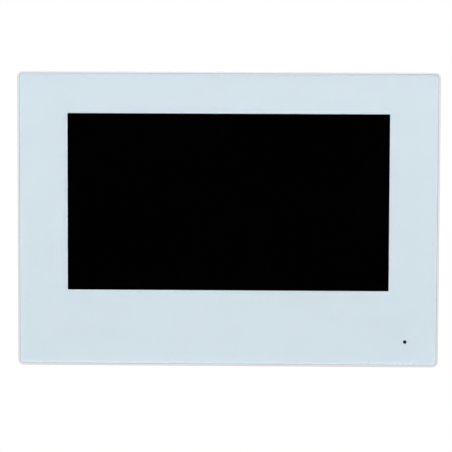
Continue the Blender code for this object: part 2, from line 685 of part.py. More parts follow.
def main_board():
    """Circuit board that straddles the connector bay, with notches for the deep sockets."""
    bridge = BAY_TOP + BAY_WALL + SLIP
    outline = [(-BOARD_HALF, BOARD_TOP), (BOARD_HALF, BOARD_TOP), (BOARD_HALF, FOOT_TOP),
               (BOARD_RIGHT_FOOT, FOOT_TOP), (BOARD_RIGHT_FOOT, BOARD_BOTTOM), (ARM_X, BOARD_BOTTOM),
               (ARM_X, bridge), (-ARM_X, bridge), (-ARM_X, BOARD_BOTTOM), (-BOARD_LEFT_FOOT, BOARD_BOTTOM),
               (-BOARD_LEFT_FOOT, FOOT_TOP), (-BOARD_HALF, FOOT_TOP)]
    board = prism("main_board", outline, BOARD_FRONT, BOARD_BACK, "board_green")
    through = (BOARD_FRONT - BITE, BOARD_BACK + BITE)
    power_end = -ARM_X - POWER_SIZE[0] - SLIP
    jack_half = JACK_W / 2 + SLIP
    power_half = POWER_SIZE[2] / 2 + SLIP
    middle = well_middle()
    cut(board,
        box((ARM_X - BITE, JACK_END + SLIP), through, (middle - jack_half, middle + jack_half)),
        box((power_end, -ARM_X + BITE), through, (middle - power_half, middle + power_half)),
        *[rod(SCREW_R + SEAT, *through, at) for at in board_screw_places()])


def well_middle():
    return (WELL_TOP + WELL_BOTTOM) / 2


def chip(name, size, at, material, base=BOARD_BACK):
    """Flat part soldered to the back of the board."""
    width, height, thickness = size
    bottom = base + SEAT
    edge = thickness * CHIP_BEVEL
    full = rounded(width, height, edge * 2, steps=1)
    top = rounded(width - 2 * edge, height - 2 * edge, edge * 2, steps=1)
    loops = [(bottom, full), (bottom + thickness - edge, full), (bottom + thickness, top)]
    return loft(name, loops, material, at)


def board_parts():
    shield_x = -(LATCH_W / 2 + COVER_WALL + SHIELD_GAP + SHIELD[0] / 2)
    shield_z = BOARD_TOP - BOARD_SCREW_SPAN / 2 - BOARD_SCREW_IN
    base = BOARD_BACK + SEAT
    top = base + SHIELD[2]
    outer = rounded(SHIELD[0], SHIELD[1], 2 * SHIELD_SHEET)
    inner = rounded(SHIELD[0] - 2 * SHIELD_SHEET, SHIELD[1] - 2 * SHIELD_SHEET, SHIELD_SHEET)
    loops = [(top, outer), (base, outer), (base, inner), (top - SHIELD_SHEET, inner)]
    loft("shield_can", loops, "tin_plate", (shield_x, shield_z))
    chip("processor", PROCESSOR, (shield_x, shield_z + MEMORY[1] / 2 + SLIP), "black_plastic")
    chip("memory_chip", MEMORY, (shield_x, shield_z - PROCESSOR[1] / 2 - SLIP), "black_plastic")
    right = BOARD_HALF - WIRELESS[0] / 2 - SLIP
    chip("wireless_module", WIRELESS, (right, shield_z + WIRELESS[1] / 2), "tin_plate")
    chip("power_inductor", INDUCTOR, (right, shield_z - INDUCTOR[1]), "ferrite")
    foot_z = (FOOT_TOP + BOARD_BOTTOM) / 2
    foot_x = BOARD_RIGHT_FOOT - TRANSFORMER[0] / 2 - SLIP
    chip("power_transformer", TRANSFORMER, (foot_x, foot_z), "ferrite")
    width, height = LCD_CONNECTOR
    connector_at = (0.0, BOARD_TOP - SLIP - height / 2)
    chip("lcd_connector", (width, height, CONNECTOR_H), connector_at, "ivory_plastic")
    width, height = TOUCH_CONNECTOR
    top = touch_connector_top()
    box((TOUCH_FLEX_X - width / 2, TOUCH_FLEX_X + width / 2),
        (BOARD_FRONT - SEAT - CONNECTOR_H, BOARD_FRONT - SEAT), (top - height, top),
        "touch_connector", "ivory_plastic")


def network_jack():
    """Shielded network socket sunk in the board, its mouth towards the connector well."""
    middle = well_middle()
    back = COVER_INNER - SLIP
    deep = (back - JACK_DEEP, back)
    jack = box((ARM_X, JACK_END), deep, (middle - JACK_W / 2, middle + JACK_W / 2),
               "network_jack", "tin_plate")
    port_y = (WELL_FLOOR, WELL_FLOOR + PORT_DEEP)
    port_z = (middle - PORT_W / 2, middle + PORT_W / 2)
    cut(jack, box((ARM_X - BITE, ARM_X + PORT_LENGTH), port_y, port_z))
    floor = port_y[0] + SEAT
    insert_x = (ARM_X + PORT_LENGTH / 2, ARM_X + PORT_LENGTH - SEAT)
    insert = box(insert_x, (floor, floor + PORT_DEEP / 4), (port_z[0] + SEAT, port_z[1] - SEAT),
                 "jack_insert", "black_plastic")
    first = middle - (CONTACT_COUNT - 1) * CONTACT_PITCH / 2
    contacts = [first + CONTACT_PITCH * i for i in range(CONTACT_COUNT)]
    reach = (insert_x[0] + BITE, insert_x[1] - BITE)
    join(insert, *[box(reach, (floor + PORT_DEEP / 8, floor + PORT_DEEP / 2 - PORT_DEEP / 8),
                       (z - CONTACT_W / 2, z + CONTACT_W / 2)) for z in contacts])
    return port_y, port_z


def socket(name, size, side, back, z, pins, material):
    """Side-entry socket at the edge of the bay, open towards the bay, with a row of pins."""
    length, deep, width = size
    near, far = side * ARM_X, side * (ARM_X + length)
    x = (min(near, far), max(near, far))
    y = (back - deep, back)
    body = box(x, y, (z - width / 2, z + width / 2), name, material)
    inside = side * (ARM_X + length - 2 * SOCKET_WALL)
    mouth = side * (ARM_X - BITE)
    half = width / 2 - SOCKET_WALL
    cavity = ((y[0] + SOCKET_WALL, y[1] - SOCKET_WALL), (z - half, z + half))
    cut(body, box((min(inside, mouth), max(inside, mouth)), *cavity))
    if pins:
        pitch = 2 * half / pins
        centre = (y[0] + y[1]) / 2
        root = side * (ARM_X + length - SOCKET_WALL)
        tip = side * (ARM_X + SOCKET_WALL)
        places = [z + pitch * (i - (pins - 1) / 2) for i in range(pins)]
        join(body, *[box((min(root, tip), max(root, tip)), (centre - PIN_T / 2, centre + PIN_T / 2),
                         (place - PIN_T / 2, place + PIN_T / 2)) for place in places])
    return cavity


def bay_sockets():
    """Sockets round the connector bay. Returns the windows that the bay walls need."""
    port_y, port_z = network_jack()
    on_board = BOARD_BACK + SEAT
    alarm_z = WELL_TOP + ALARM_SIZE[2] / 2 + RECESS_MARGIN
    card_z = alarm_z + ALARM_SIZE[2] / 2 + CARD_SIZE[2] / 2 + RECESS_MARGIN
    service_z = (WELL_TOP + BAY_TOP) / 2
    power_back = (BOARD_FRONT + BOARD_BACK) / 2 + POWER_SIZE[1] / 2
    alarm_back = on_board + ALARM_SIZE[1]
    card_back = on_board + CARD_SIZE[1]
    service_back = on_board + SERVICE_SIZE[1]
    left = [socket("power_header", POWER_SIZE, -1, power_back, well_middle(), POWER_PIN_COUNT,
                   "green_plastic"),
            socket("alarm_header", ALARM_SIZE, -1, alarm_back, alarm_z, ALARM_PIN_COUNT, "ivory_plastic"),
            socket("card_slot", CARD_SIZE, -1, card_back, card_z, 0, "tin_plate")]
    right = [socket("service_port", SERVICE_SIZE, 1, service_back, service_z, SERVICE_PIN_COUNT,
                    "ivory_plastic"),
             (port_y, port_z)]
    return [(-1, *window) for window in left] + [(1, *window) for window in right]


def loudspeaker():
    """Slim oval loudspeaker that faces the grille of the rear cover."""
    at = (SPEAKER_X, SPEAKER_Z)
    back = SPEAKER_BACK
    rim = rounded(SPEAKER_W, SPEAKER_H, SPEAKER_R)

    def shrink(amount):
        radius = max(SPEAKER_R - amount, SPEAKER_R / 2)
        return rounded(SPEAKER_W - 2 * amount, SPEAKER_H - 2 * amount, radius)

    shoulder = back - SPEAKER_RIM_T - 2 * CONE_TRAVEL
    bottom = back - SPEAKER_DEPTH
    narrow = SPEAKER_W / 2 - 2 * MAGNET_R
    waist = (SPEAKER_H / 2 - MAGNET_R) - SPEAKER_WALL * 2
    low = rounded(SPEAKER_W - 2 * narrow, SPEAKER_H - 2 * waist, SPEAKER_R - waist)
    low_in = rounded(SPEAKER_W - 2 * (narrow + SPEAKER_WALL), SPEAKER_H - 2 * (waist + SPEAKER_WALL),
                     SPEAKER_R - waist - SPEAKER_WALL)
    shelf = SPEAKER_RIM + SPEAKER_WALL + SLIP
    under_rim = back - SPEAKER_RIM_T
    wall = shrink(SPEAKER_WALL)
    loops = [(bottom + SPEAKER_WALL, low_in), (shoulder, shrink(shelf)), (shoulder, shrink(SPEAKER_RIM)),
             (back, shrink(SPEAKER_RIM)), (back, rim), (under_rim, rim), (under_rim, wall),
             (shoulder - SPEAKER_WALL, wall), (bottom, low)]
    basket = loft("speaker_basket", loops, "black_plastic", at)
    ear = rounded(2 * (POST_R + SPEAKER_RIM_T), 2 * (POST_R + SPEAKER_RIM_T), POST_R)
    places = speaker_screw_places()
    join(basket, *[prism("ear", ear, under_rim, back, at=place) for place in places])
    cut(basket, rod(MAGNET_R + SEAT, bottom - BITE, bottom + SPEAKER_WALL + BITE, at, sides=20),
        *[rod(SCREW_R + SEAT, under_rim - BITE, back + BITE, place) for place in places])
    magnet_front = bottom - SPEAKER_WALL
    magnet_back = magnet_front + MAGNET_H
    gap_in = COIL_R - COIL_T - SLIP - SEAT
    gap_out = COIL_R + SLIP + SEAT
    floor = magnet_front + SPEAKER_WALL
    profile = [(0.0, magnet_front), (MAGNET_R, magnet_front), (MAGNET_R, magnet_back),
               (gap_out, magnet_back), (gap_out, floor), (gap_in, floor), (gap_in, magnet_back),
               (0.0, magnet_back)]
    turned("speaker_magnet", profile, "ferrite", at, sides=20)
    travel = CONE_TRAVEL + SLIP
    speaker_cone(shoulder, magnet_back + travel, floor + travel, shelf)
    edge_in = shrink(shelf + 2 * SPEAKER_RIM_T - SLIP / 2)
    roll = shrink((SPEAKER_RIM + shelf + 2 * SPEAKER_RIM_T) / 2)
    edge_out = shrink(SPEAKER_RIM + SLIP / 2)
    low_y = shoulder + SEAT
    high_y = low_y + CONE_TRAVEL
    lift = CONE_TRAVEL
    loops = [(high_y, edge_in), (high_y + lift, roll), (high_y, edge_out), (low_y, edge_out),
             (low_y + lift, roll), (low_y, edge_in)]
    loft("speaker_surround", loops, "rubber", at, ring=True)
    seal_y = back + SEAT
    outer = shrink(SLIP)
    inner = shrink(SPEAKER_RIM - SLIP)
    seal_end = seal_y + SPEAKER_GASKET_T
    loops = [(seal_y, outer), (seal_end, outer), (seal_end, inner), (seal_y, inner)]
    loft("speaker_gasket", loops, "foam", at, ring=True)


def speaker_cone(shoulder, throat, coil_end, shelf):
    """Moving cone: oval edge, round throat with a dust cap, and the voice coil tube."""
    amount = shelf + 2 * SPEAKER_RIM_T
    edge = rounded(SPEAKER_W - 2 * amount, SPEAKER_H - 2 * amount, SPEAKER_R / 2)
    sides = len(edge)
    sheet = CONE_TRAVEL
    rim_y = shoulder + SEAT
    cap = circle(COIL_R / 4, sides)
    tube = circle(COIL_R, sides)
    bore = circle(COIL_R - COIL_T, sides)
    mouth = circle(COIL_R - COIL_T / 2, sides)
    loops = [(throat + 3 * sheet, cap), (throat + 2 * sheet, mouth), (rim_y + sheet, edge), (rim_y, edge),
             (throat, tube), (coil_end, tube), (coil_end, bore), (throat + sheet, bore),
             (throat + 2 * sheet, cap)]
    loft("speaker_cone", loops, "paper_cone", (SPEAKER_X, SPEAKER_Z))


def microphone():
    """Electret capsule in a rubber boot, whose nose seals against the back of the glass."""
    front = LEDGE_BACK + SEAT
    seat = front + BOOT_WALL
    back = seat + MIC_H
    outer = MIC_R + BOOT_WALL
    inner = MIC_R + SEAT
    hole = MIC_HOLE_R + SLIP
    nose_end = PRINT_BACK + SEAT
    sleeve = [(hole, nose_end), (NOSE_R, nose_end), (NOSE_R, front), (outer, front), (outer, back),
              (inner, back), (inner, seat), (hole, seat), (hole, nose_end)]
    turned("mic_boot", sleeve, "rubber", MIC_AT, sides=20)
    face = seat + SEAT
    capsule = [(0.0, face), (MIC_R - MIC_BEVEL, face), (MIC_R, face + MIC_BEVEL), (MIC_R, back), (0.0, back)]
    turned("microphone", capsule, "tin_plate", MIC_AT, sides=20)


def antenna_and_leads():
    wall = INNER_W / 2 - SEAT
    foot = FOOT_TOP
    antenna_z = (SCREEN_Z, SCREEN_Z + ANTENNA_L)
    antenna_y = LEDGE_BACK + SLIP
    clear = CHASSIS_POST_OUT
    box((wall - ANTENNA_T, wall), (antenna_y, antenna_y + ANTENNA_W),
        (antenna_z[0] + clear, antenna_z[1] + clear), "antenna", "amber_flex")
    mid = antenna_y + ANTENNA_W / 2
    end = wall - ANTENNA_T - SEAT
    top = antenna_z[1] + clear - ANTENNA_W
    behind = (COVER_INNER + BOARD_BACK) / 2
    module_x = BOARD_HALF
    module_y = BOARD_BACK + WIRELESS[2] + SEAT
    module_z = BOARD_TOP - BOARD_SCREW_SPAN / 2 - BOARD_SCREW_IN + WIRELESS[1] / 2
    route = [(end, mid, top), (end - 2 * clear, mid + clear / 2, top + clear / 4),
             (end - 4 * clear, behind, top - clear / 4), (module_x + 2 * clear, behind, module_z + clear),
             (module_x + clear / 2, module_y, module_z), (module_x, module_y, module_z)]
    lead("antenna_lead", route, "wire_black")
    x, z = MIC_AT
    mic_back = LEDGE_BACK + SEAT + BOOT_WALL + MIC_H + SLIP
    board_edge = BOARD_RIGHT_FOOT
    solder_y = BOARD_BACK + LEAD_R + SEAT
    lead("mic_lead", [(x, mic_back, z), (x, mic_back + clear / 3, z), (x - clear, solder_y, z + clear / 2),
                      (board_edge + clear / 2, solder_y, foot - clear),
                      (board_edge - clear / 4, solder_y, foot - clear)], "wire_black")
    start_x = SPEAKER_X + MAGNET_R + SPEAKER_WALL + LEAD_R
    start_y = SPEAKER_BACK - SPEAKER_DEPTH - SLIP
    turn_y = (start_y + LEDGE_BACK) / 2
    lead("speaker_lead", [(start_x, start_y, SPEAKER_Z), (start_x + LEAD_R, turn_y, SPEAKER_Z),
                          (SPEAKER_X + SPEAKER_W / 2, turn_y, SPEAKER_Z + clear / 2),
                          (-BOARD_LEFT_FOOT - clear, BOARD_FRONT - 3 * LEAD_R, SPEAKER_Z + clear),
                          (-BOARD_LEFT_FOOT + clear / 2, BOARD_FRONT - LEAD_R - SEAT, SPEAKER_Z + clear)],
         "wire_black")


def rear_cover(windows):
    """Moulded back: sloped edges, plate recess, hook pockets, connector bay, vents and grille."""
    outline = body_outline(COVER_STEP)
    lip = body_outline(FRAME_WALL + 2 * SEAT)
    bore = body_outline(FRAME_WALL + 2 * SEAT + LIP_T)
    back = body_outline(BACK_INSET + BACK_ROUND, CORNER_R)
    shoulder = body_outline(BACK_INSET, CORNER_R)
    floor = body_outline(BACK_INSET + COVER_WALL / 2, CORNER_R)
    slope = COVER_FRONT + COVER_LAND
    lip_end = COVER_FRONT - LIP_H
    loops = [(COVER_BACK, back), (COVER_BACK - BACK_ROUND / 2, shoulder), (slope, outline),
             (COVER_FRONT, outline), (COVER_FRONT, lip), (lip_end, lip), (lip_end, bore), (slope, bore),
             (COVER_INNER, floor)]
    cover = loft("rear_cover", loops, "white_plastic")
    add_cover_bosses(cover)
    add_plate_recess(cover)
    add_connector_bay(cover, windows)
    cut_openings(cover)


def add_cover_bosses(cover):
    hole_r = SCREW_R + SEAT
    head_floor = cover_screw_seat()
    outside = COVER_BACK + BITE
    blind = COVER_INNER + COVER_WALL / 2
    corners = cover_screw_places()
    ears = speaker_screw_places()
    join(cover, *[rod(BOSS_R, COVER_FRONT, COVER_INNER + BITE, at) for at in corners],
         *[rod(POST_R, SPEAKER_BACK + SEAT, COVER_INNER + BITE, at) for at in ears])
    cut(cover, *[rod(hole_r, COVER_FRONT - BITE, outside, at) for at in corners],
        *[rod(SCREW_HEAD_R + SEAT, head_floor, outside, at) for at in corners],
        *[rod(hole_r, SPEAKER_BACK, blind, at) for at in ears])


def cover_screw_seat():
    return COVER_BACK - SCREW_HEAD_H - 2 * SLIP


def add_plate_recess(cover):
    """Shallow recess for the wall plate, tall enough for the lift, with hook pockets and latch channel."""
    width = PLATE_W + 2 * RECESS_MARGIN
    height = PLATE_H + 2 * RECESS_MARGIN + LIFT
    middle = (0.0, -LIFT / 2)
    wall = 2 * COVER_WALL
    outer = rounded(width + wall, height + wall, PLATE_R + RECESS_MARGIN + COVER_WALL)
    inner = rounded(width, height, PLATE_R + RECESS_MARGIN)
    hooks = [(side * HOOK_X, z) for z in (HOOK_UPPER_Z, HOOK_LOWER_Z) for side in (-1, 1)]
    half = HOOK_W / 2 + SLIP
    low = LIFT + RECESS_MARGIN
    high = HOOK_H + SLIP
    latch_half = LATCH_W / 2 + SLIP
    latch_z = (LATCH_TOP - LATCH_LENGTH - LIFT - RECESS_MARGIN, LATCH_TOP + SLIP)
    solid_back = COVER_INNER + BITE
    notch_wall = NOTCH_Y - COVER_WALL / 2
    join(cover, prism("tub", outer, WEB_Y, solid_back, at=middle))
    thick = half + POCKET_WALL
    pockets = [box((x - thick, x + thick), (POCKET_FLOOR - POCKET_WALL, WEB_Y + BITE),
                   (z - low - POCKET_WALL, z + high + POCKET_WALL)) for x, z in hooks]
    latch_tub = box((-latch_half - COVER_WALL, latch_half + COVER_WALL), (notch_wall, WEB_Y + BITE),
                    (latch_z[0] - COVER_WALL, LATCH_TOP))
    join(cover, *pockets, latch_tub)
    bump = LATCH_BUMP_L / 2 + SLIP
    rest = PLATE_T + SEAT
    cut(cover, prism("recess", inner, RECESS_Y, PLATE_T, at=middle),
        *[box((x - half, x + half), (POCKET_FLOOR, WEB_Y), (z - low, z + high)) for x, z in hooks],
        *[box((x - half, x + half), (WEB_Y - BITE, PLATE_T), (z - low, z + rest)) for x, z in hooks],
        box((-latch_half, latch_half), (CHANNEL_Y, PLATE_T), latch_z),
        box((-latch_half, latch_half), (NOTCH_Y, CHANNEL_Y + BITE),
            (LATCH_BUMP_Z - bump, LATCH_BUMP_Z + bump)))


def add_connector_bay(cover, windows):
    """Cable bay behind the plate window and the deeper connector well below it."""
    wide = BAY_HALF + BAY_WALL
    solid_back = COVER_INNER + BITE
    join(cover,
         box((-wide, wide), (BAY_FLOOR_FRONT, solid_back), (WELL_TOP - BAY_WALL, BAY_TOP + BAY_WALL)),
         box((-wide, wide), (WELL_FLOOR_FRONT, solid_back), (WELL_BOTTOM - BAY_WALL, WELL_TOP + BAY_WALL)))
    cut(cover, box((-BAY_HALF, BAY_HALF), (BAY_FLOOR, PLATE_T), (WELL_TOP - BITE, BAY_TOP)),
        box((-BAY_HALF, BAY_HALF), (WELL_FLOOR, PLATE_T), (WELL_BOTTOM, WELL_TOP)))
    cutters = []
    for side, y, z in windows:
        near, far = side * (BAY_HALF - BITE), side * (wide + BITE)
        cutters.append(box((min(near, far), max(near, far)), (y[0] - SEAT, y[1] + SEAT),
                           (z[0] - SEAT, z[1] + SEAT)))
    cut(cover, *cutters)


def cut_openings(cover):
    """Cooling slots along the top and the loudspeaker grille."""
    through = (COVER_INNER - BITE, COVER_BACK + BITE)
    top = BODY_H / 2 - VENT_FROM_TOP
    first = -(VENT_COUNT - 1) * VENT_PITCH / 2
    slot = rounded(VENT_W, VENT_H, VENT_W * SLOT_END, steps=2)
    vents = [prism("vent", slot, *through, at=(first + VENT_PITCH * i, top - VENT_H / 2))
             for i in range(VENT_COUNT)]
    reach = SPEAKER_H - 2 * (SPEAKER_RIM + SLIP)
    hole = rounded(GRILLE_W, reach, GRILLE_W * SLOT_END, steps=2)
    left = SPEAKER_X - (GRILLE_COUNT - 1) * GRILLE_PITCH / 2
    grille = [prism("slot", hole, *through, at=(left + GRILLE_PITCH * i, SPEAKER_Z))
              for i in range(GRILLE_COUNT)]
    cut(cover, *vents, *grille)


def wall_plate():
    """Pressed steel plate: central bar for the box screws, cable window, hooks lanced out of the sheet."""
    plate = prism("wall_plate", rounded(PLATE_W, PLATE_H, PLATE_R), -PLATE_T, 0.0, "steel")
    through = (-PLATE_T - BITE, BITE)
    window_top = -PLATE_BAR / 2
    window_bottom = PLATE_RAIL - PLATE_H / 2
    window = rounded(WINDOW_W, window_top - window_bottom, PLATE_R / 2)
    slot = rounded(BOX_SLOT_L, BOX_SLOT_W, BOX_SLOT_W * SLOT_END)
    corner_x = PLATE_W / 2 - CORNER_HOLE_INSET
    corner_z = PLATE_H / 2 - CORNER_HOLE_INSET
    half = HOOK_W / 2 + SLIP
    reach = HOOK_H - HOOK_FRONT
    hooks = [(side * HOOK_X, z) for z in (HOOK_UPPER_Z, HOOK_LOWER_Z) for side in (-1, 1)]
    cut(plate, prism("window", window, *through, at=(0.0, (window_top + window_bottom) / 2)),
        *[prism("slot", slot, *through, at=(side * BOX_SCREW_SPAN / 2, 0.0)) for side in (-1, 1)],
        *[rod(CORNER_HOLE_R, *through, (sx * corner_x, sz * corner_z)) for sx in (-1, 1) for sz in (-1, 1)],
        *[box((x - half, x + half), through, (z + PLATE_T - SEAT, z + reach)) for x, z in hooks],
        rod(RIVET_R + SEAT, *through, (0.0, rivet_z())))
    tools = []
    for x, z in hooks:
        root = (-PLATE_T / 2, z + PLATE_T / 2)
        corner = (HOOK_FRONT + PLATE_T / 2, z + PLATE_T / 2)
        tip = (HOOK_FRONT + PLATE_T / 2, z + HOOK_H)
        tools.append(strip("hook", bent_path([root, corner, tip], PLATE_T), PLATE_T, HOOK_W, x))
    join(plate, *tools)


def rivet_z():
    return LATCH_TOP - 2 * RIVET_R


def latch():
    """Leaf spring riveted to the plate. Its bump drops into a notch of the cover."""
    y = LATCH_BACK - LATCH_T / 2
    bump_start = LATCH_BUMP_Z + LATCH_BUMP_L / 2
    bump_end = LATCH_BUMP_Z - LATCH_BUMP_L / 2
    root_end = rivet_z() - 3 * RIVET_R
    lean = y - LATCH_LEAN
    route = [(y, LATCH_TOP), (y, root_end), (lean, bump_start), (lean - LATCH_BUMP, LATCH_BUMP_Z),
             (lean, bump_end), (y, LATCH_TOP - LATCH_LENGTH)]
    path = [Vector(point) for point in route]
    spring = strip("latch_spring", path, LATCH_T, LATCH_W, 0.0, "tin_plate")
    cut(spring, rod(RIVET_R + SEAT, LATCH_BACK - LATCH_T - BITE, LATCH_BACK + BITE, (0.0, rivet_z())))
    front = LATCH_BACK - LATCH_T - SEAT
    crown = front - LATCH_T / 2
    foot = -PLATE_T / 2
    profile = [(0.0, crown), (RIVET_HEAD_R * HEAD_FLAT, crown), (RIVET_HEAD_R, front), (RIVET_R, front),
               (RIVET_R, foot), (0.0, foot)]
    turned("latch_rivet", profile, "tin_plate", (0.0, rivet_z()), sides=12)


def screws():
    seats = {
        "cover_screw": (cover_screw_places(), cover_screw_seat(), COVER_SCREW_LENGTH),
        "chassis_screw": (chassis_screw_places(), CHASSIS_BACK, CHASSIS_SCREW_LENGTH),
        "board_screw": (board_screw_places(), BOARD_BACK, BOARD_SCREW_LENGTH),
    }
    for name, (places, seat, length) in seats.items():
        for number, at in enumerate(places, 1):
            screw(f"{name}_{number}", at, seat, length, -1)
    for number, at in enumerate(speaker_screw_places(), 1):
        screw(f"speaker_screw_{number}", at, SPEAKER_BACK - SPEAKER_RIM_T, SPEAKER_SCREW_LENGTH, 1)


def group(name, at, pieces):
    """Parent the pieces of one moving body to an empty on its joint axis."""
    empty = bpy.data.objects.new(name, None)
    empty.location = at
    bpy.context.collection.objects.link(empty)
    bpy.context.view_layer.update()
    for piece in pieces:
        piece.parent = empty
        piece.matrix_parent_inverse = empty.matrix_world.inverted()
    return empty


def main():
    for old in list(bpy.data.objects):
        bpy.data.objects.remove(old)
    wall_plate()
    latch()
    on_wall = set(bpy.context.collection.objects)
    cover_glass()
    panel_tape()
    front_frame()
    touch_panel()
    screen_module()
    chassis_plate()
    main_board()
    board_parts()
    windows = bay_sockets()
    loudspeaker()
    microphone()
    antenna_and_leads()
    rear_cover(windows)
    screws()
    pieces = list(bpy.context.collection.objects)
    cone = bpy.data.objects["speaker_cone"]
    moving = [piece for piece in pieces if piece not in on_wall and piece is not cone]
    body = group("monitor_slide", (0.0, 0.0, 0.0), moving)
    voice = group("speaker_axis", (SPEAKER_X, SPEAKER_BACK, SPEAKER_Z), [cone])
    voice.parent = body
    for piece in pieces:
        if piece.type == "MESH":
            piece.data.shade_smooth()
            piece.data.set_sharp_from_angle(angle=SMOOTH_BELOW)
    size = [1000 * length for length in (BODY_W, -GLASS_FRONT, BODY_H)]
    print(len(pieces), "pieces, body in mm:", *[round(length, 2) for length in size])


main()
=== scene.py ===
# %% [markdown]
# # A wall-mounted video intercom monitor, dressed for its photograph
#
# The solids of the monitor are already made: a glass front, a moulded frame, a rear cover on a steel wall
# plate, and the board, screen and loudspeaker between them. This lesson dresses them. It sets up the camera and
# the light first, then gives every surface its finish, and last models the few pieces whose small forms show.
# Everything is in metres, with +Z up and the room on the -Y side.

import math

import bpy
from mathutils import Matrix, Vector


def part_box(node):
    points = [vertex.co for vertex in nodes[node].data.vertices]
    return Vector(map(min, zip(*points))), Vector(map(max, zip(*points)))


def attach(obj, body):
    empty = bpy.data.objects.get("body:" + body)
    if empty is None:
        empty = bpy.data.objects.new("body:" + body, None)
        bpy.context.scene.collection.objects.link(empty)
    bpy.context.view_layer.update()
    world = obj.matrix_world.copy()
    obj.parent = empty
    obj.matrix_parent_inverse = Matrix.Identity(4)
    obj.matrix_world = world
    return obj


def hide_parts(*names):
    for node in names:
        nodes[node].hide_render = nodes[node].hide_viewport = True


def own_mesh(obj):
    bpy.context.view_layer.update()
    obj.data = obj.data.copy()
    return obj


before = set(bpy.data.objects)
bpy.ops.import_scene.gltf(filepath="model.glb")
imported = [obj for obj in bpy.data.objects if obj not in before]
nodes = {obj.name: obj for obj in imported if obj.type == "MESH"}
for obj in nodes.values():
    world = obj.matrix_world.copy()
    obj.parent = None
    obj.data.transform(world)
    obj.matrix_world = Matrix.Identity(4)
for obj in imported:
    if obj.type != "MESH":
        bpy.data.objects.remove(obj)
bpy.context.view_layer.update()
bpy.ops.object.select_all(action="DESELECT")

# %% [markdown]
# ## Helpers for colours and nodes
#
# A colour picked from a picture is an sRGB value, while a shader counts in linear light, so one function turns
# a hex colour into what the shader wants. A second one adds a shader node with its settings and links, which
# keeps the recipes below short. The third gives a texture's scale from the size of one grain in millimetres.

# %% Colour, node and scale helpers
MM = 0.001


def linear(code):
    """Linear RGBA from an sRGB hex colour such as D9DDE5."""
    channels = [int(code[i:i + 2], 16) / 255 for i in (0, 2, 4)]
    return (*[c / 12.92 if c <= 0.04045 else ((c + 0.055) / 1.055) ** 2.4 for c in channels], 1.0)


def add(owner, kind, inputs, **settings):
    """Add a shader node to a material or world. An input is a value, or the output of another node."""
    tree = owner.node_tree
    node = tree.nodes.new("ShaderNode" + kind)
    for name, value in settings.items():
        setattr(node, name, value)
    for name, value in inputs.items():
        if isinstance(value, bpy.types.NodeSocket):
            tree.links.new(value, node.inputs[name])
        else:
            node.inputs[name].default_value = value
    return node


def per_metre(grain_mm):
    """Texture scale at which one grain is this many millimetres across."""
    return 1000.0 / grain_mm


print("white in linear light:", linear("FFFFFF"), "scale of a 2 mm grain:", per_metre(2.0))

# %% [markdown]
# ## The camera
#
# The photograph was taken from about a metre away with a long lens, from slightly above and slightly to the
# right, so the top wall shows as a thin line and the sides hardly converge. A long lens on a camera that stands
# off is the way to get that: a short lens close by would splay the corners.

# %% Camera at the photograph's angle
LENS_MM = 175.2
SENSOR_MM = 36.0
DISTANCE = 1.043
AZIMUTH = math.radians(1.3)
ELEVATION = math.radians(4.6)
ROLL = math.radians(0.21)
front_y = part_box("cover_glass")[0].y
aim = Vector((-1.0 * MM, front_y, -3.0 * MM))
away = Vector((math.sin(AZIMUTH) * math.cos(ELEVATION), -math.cos(AZIMUTH) * math.cos(ELEVATION),
               math.sin(ELEVATION)))

camera = bpy.data.objects.new("camera", bpy.data.cameras.new("camera"))
camera.data.lens = LENS_MM
camera.data.sensor_width = SENSOR_MM
camera.data.clip_end = 100.0
camera.location = aim + away * DISTANCE
camera.rotation_mode = "QUATERNION"
turn = (-away).to_track_quat("-Z", "Y")
camera.rotation_quaternion = turn @ Matrix.Rotation(ROLL, 3, "Z").to_quaternion()
bpy.context.scene.collection.objects.link(camera)
bpy.context.scene.camera = camera
print("camera stands at", [round(v, 3) for v in camera.location])

# %% [markdown]
# ## Room, light and background
#
# A product like this is photographed on white, between large soft lamps. The world is white wherever the camera
# sees it, straight or through glass, and gives a dimmer even light to the surfaces. The pale floor lies well
# below, because the monitor hangs on a wall, so its shadow falls outside the picture. It fades to the same
# white as the world, so that no edge shows, and throws no light back at the monitor. A black flag stands
# behind the camera: photographers put one there so that a dark screen mirrors nothing. Only mirror rays and rays
# through glass see it. Far from its middle it glows: a painted sheen that the glass mirrors at a slant.
#
# Light that left the ink and crosses the glass again finds a black world, because shadow rays have already
# brought the world's light to the ink, and it would count twice.

# %% White world
AMBIENT = 0.50           # strength of the world's light on surfaces; seen directly, its strength is 1
ANY_BOUNCE = 0.5         # a path that has scattered at all counts more bounces than this

bpy.context.scene.view_settings.view_transform = "Standard"
world = bpy.data.worlds.new("white_studio")
bpy.context.scene.world = world
world.use_nodes = True
rays = add(world, "LightPath", {})
seen = add(world, "Math", {0: rays.outputs["Is Camera Ray"], 1: rays.outputs["Is Glossy Ray"]},
           operation="MAXIMUM")
through = rays.outputs["Is Transmission Ray"]
seen = add(world, "Math", {0: seen.outputs[0], 1: through}, operation="MAXIMUM")
level = add(world, "MapRange", {"Value": seen.outputs[0], "To Min": AMBIENT, "To Max": 1.0})
scattered = add(world, "Math", {0: rays.outputs["Diffuse Depth"], 1: ANY_BOUNCE}, operation="GREATER_THAN")
twice = add(world, "Math", {0: scattered.outputs[0], 1: through}, operation="MULTIPLY")
once = add(world, "Math", {0: 1.0, 1: twice.outputs[0]}, operation="SUBTRACT")
level = add(world, "Math", {0: level.outputs[0], 1: once.outputs[0]}, operation="MULTIPLY")
sky = world.node_tree.nodes["Background"]
sky.inputs["Color"].default_value = linear("FFFFFF")
world.node_tree.links.new(level.outputs[0], sky.inputs["Strength"])
print("world:", world.name)

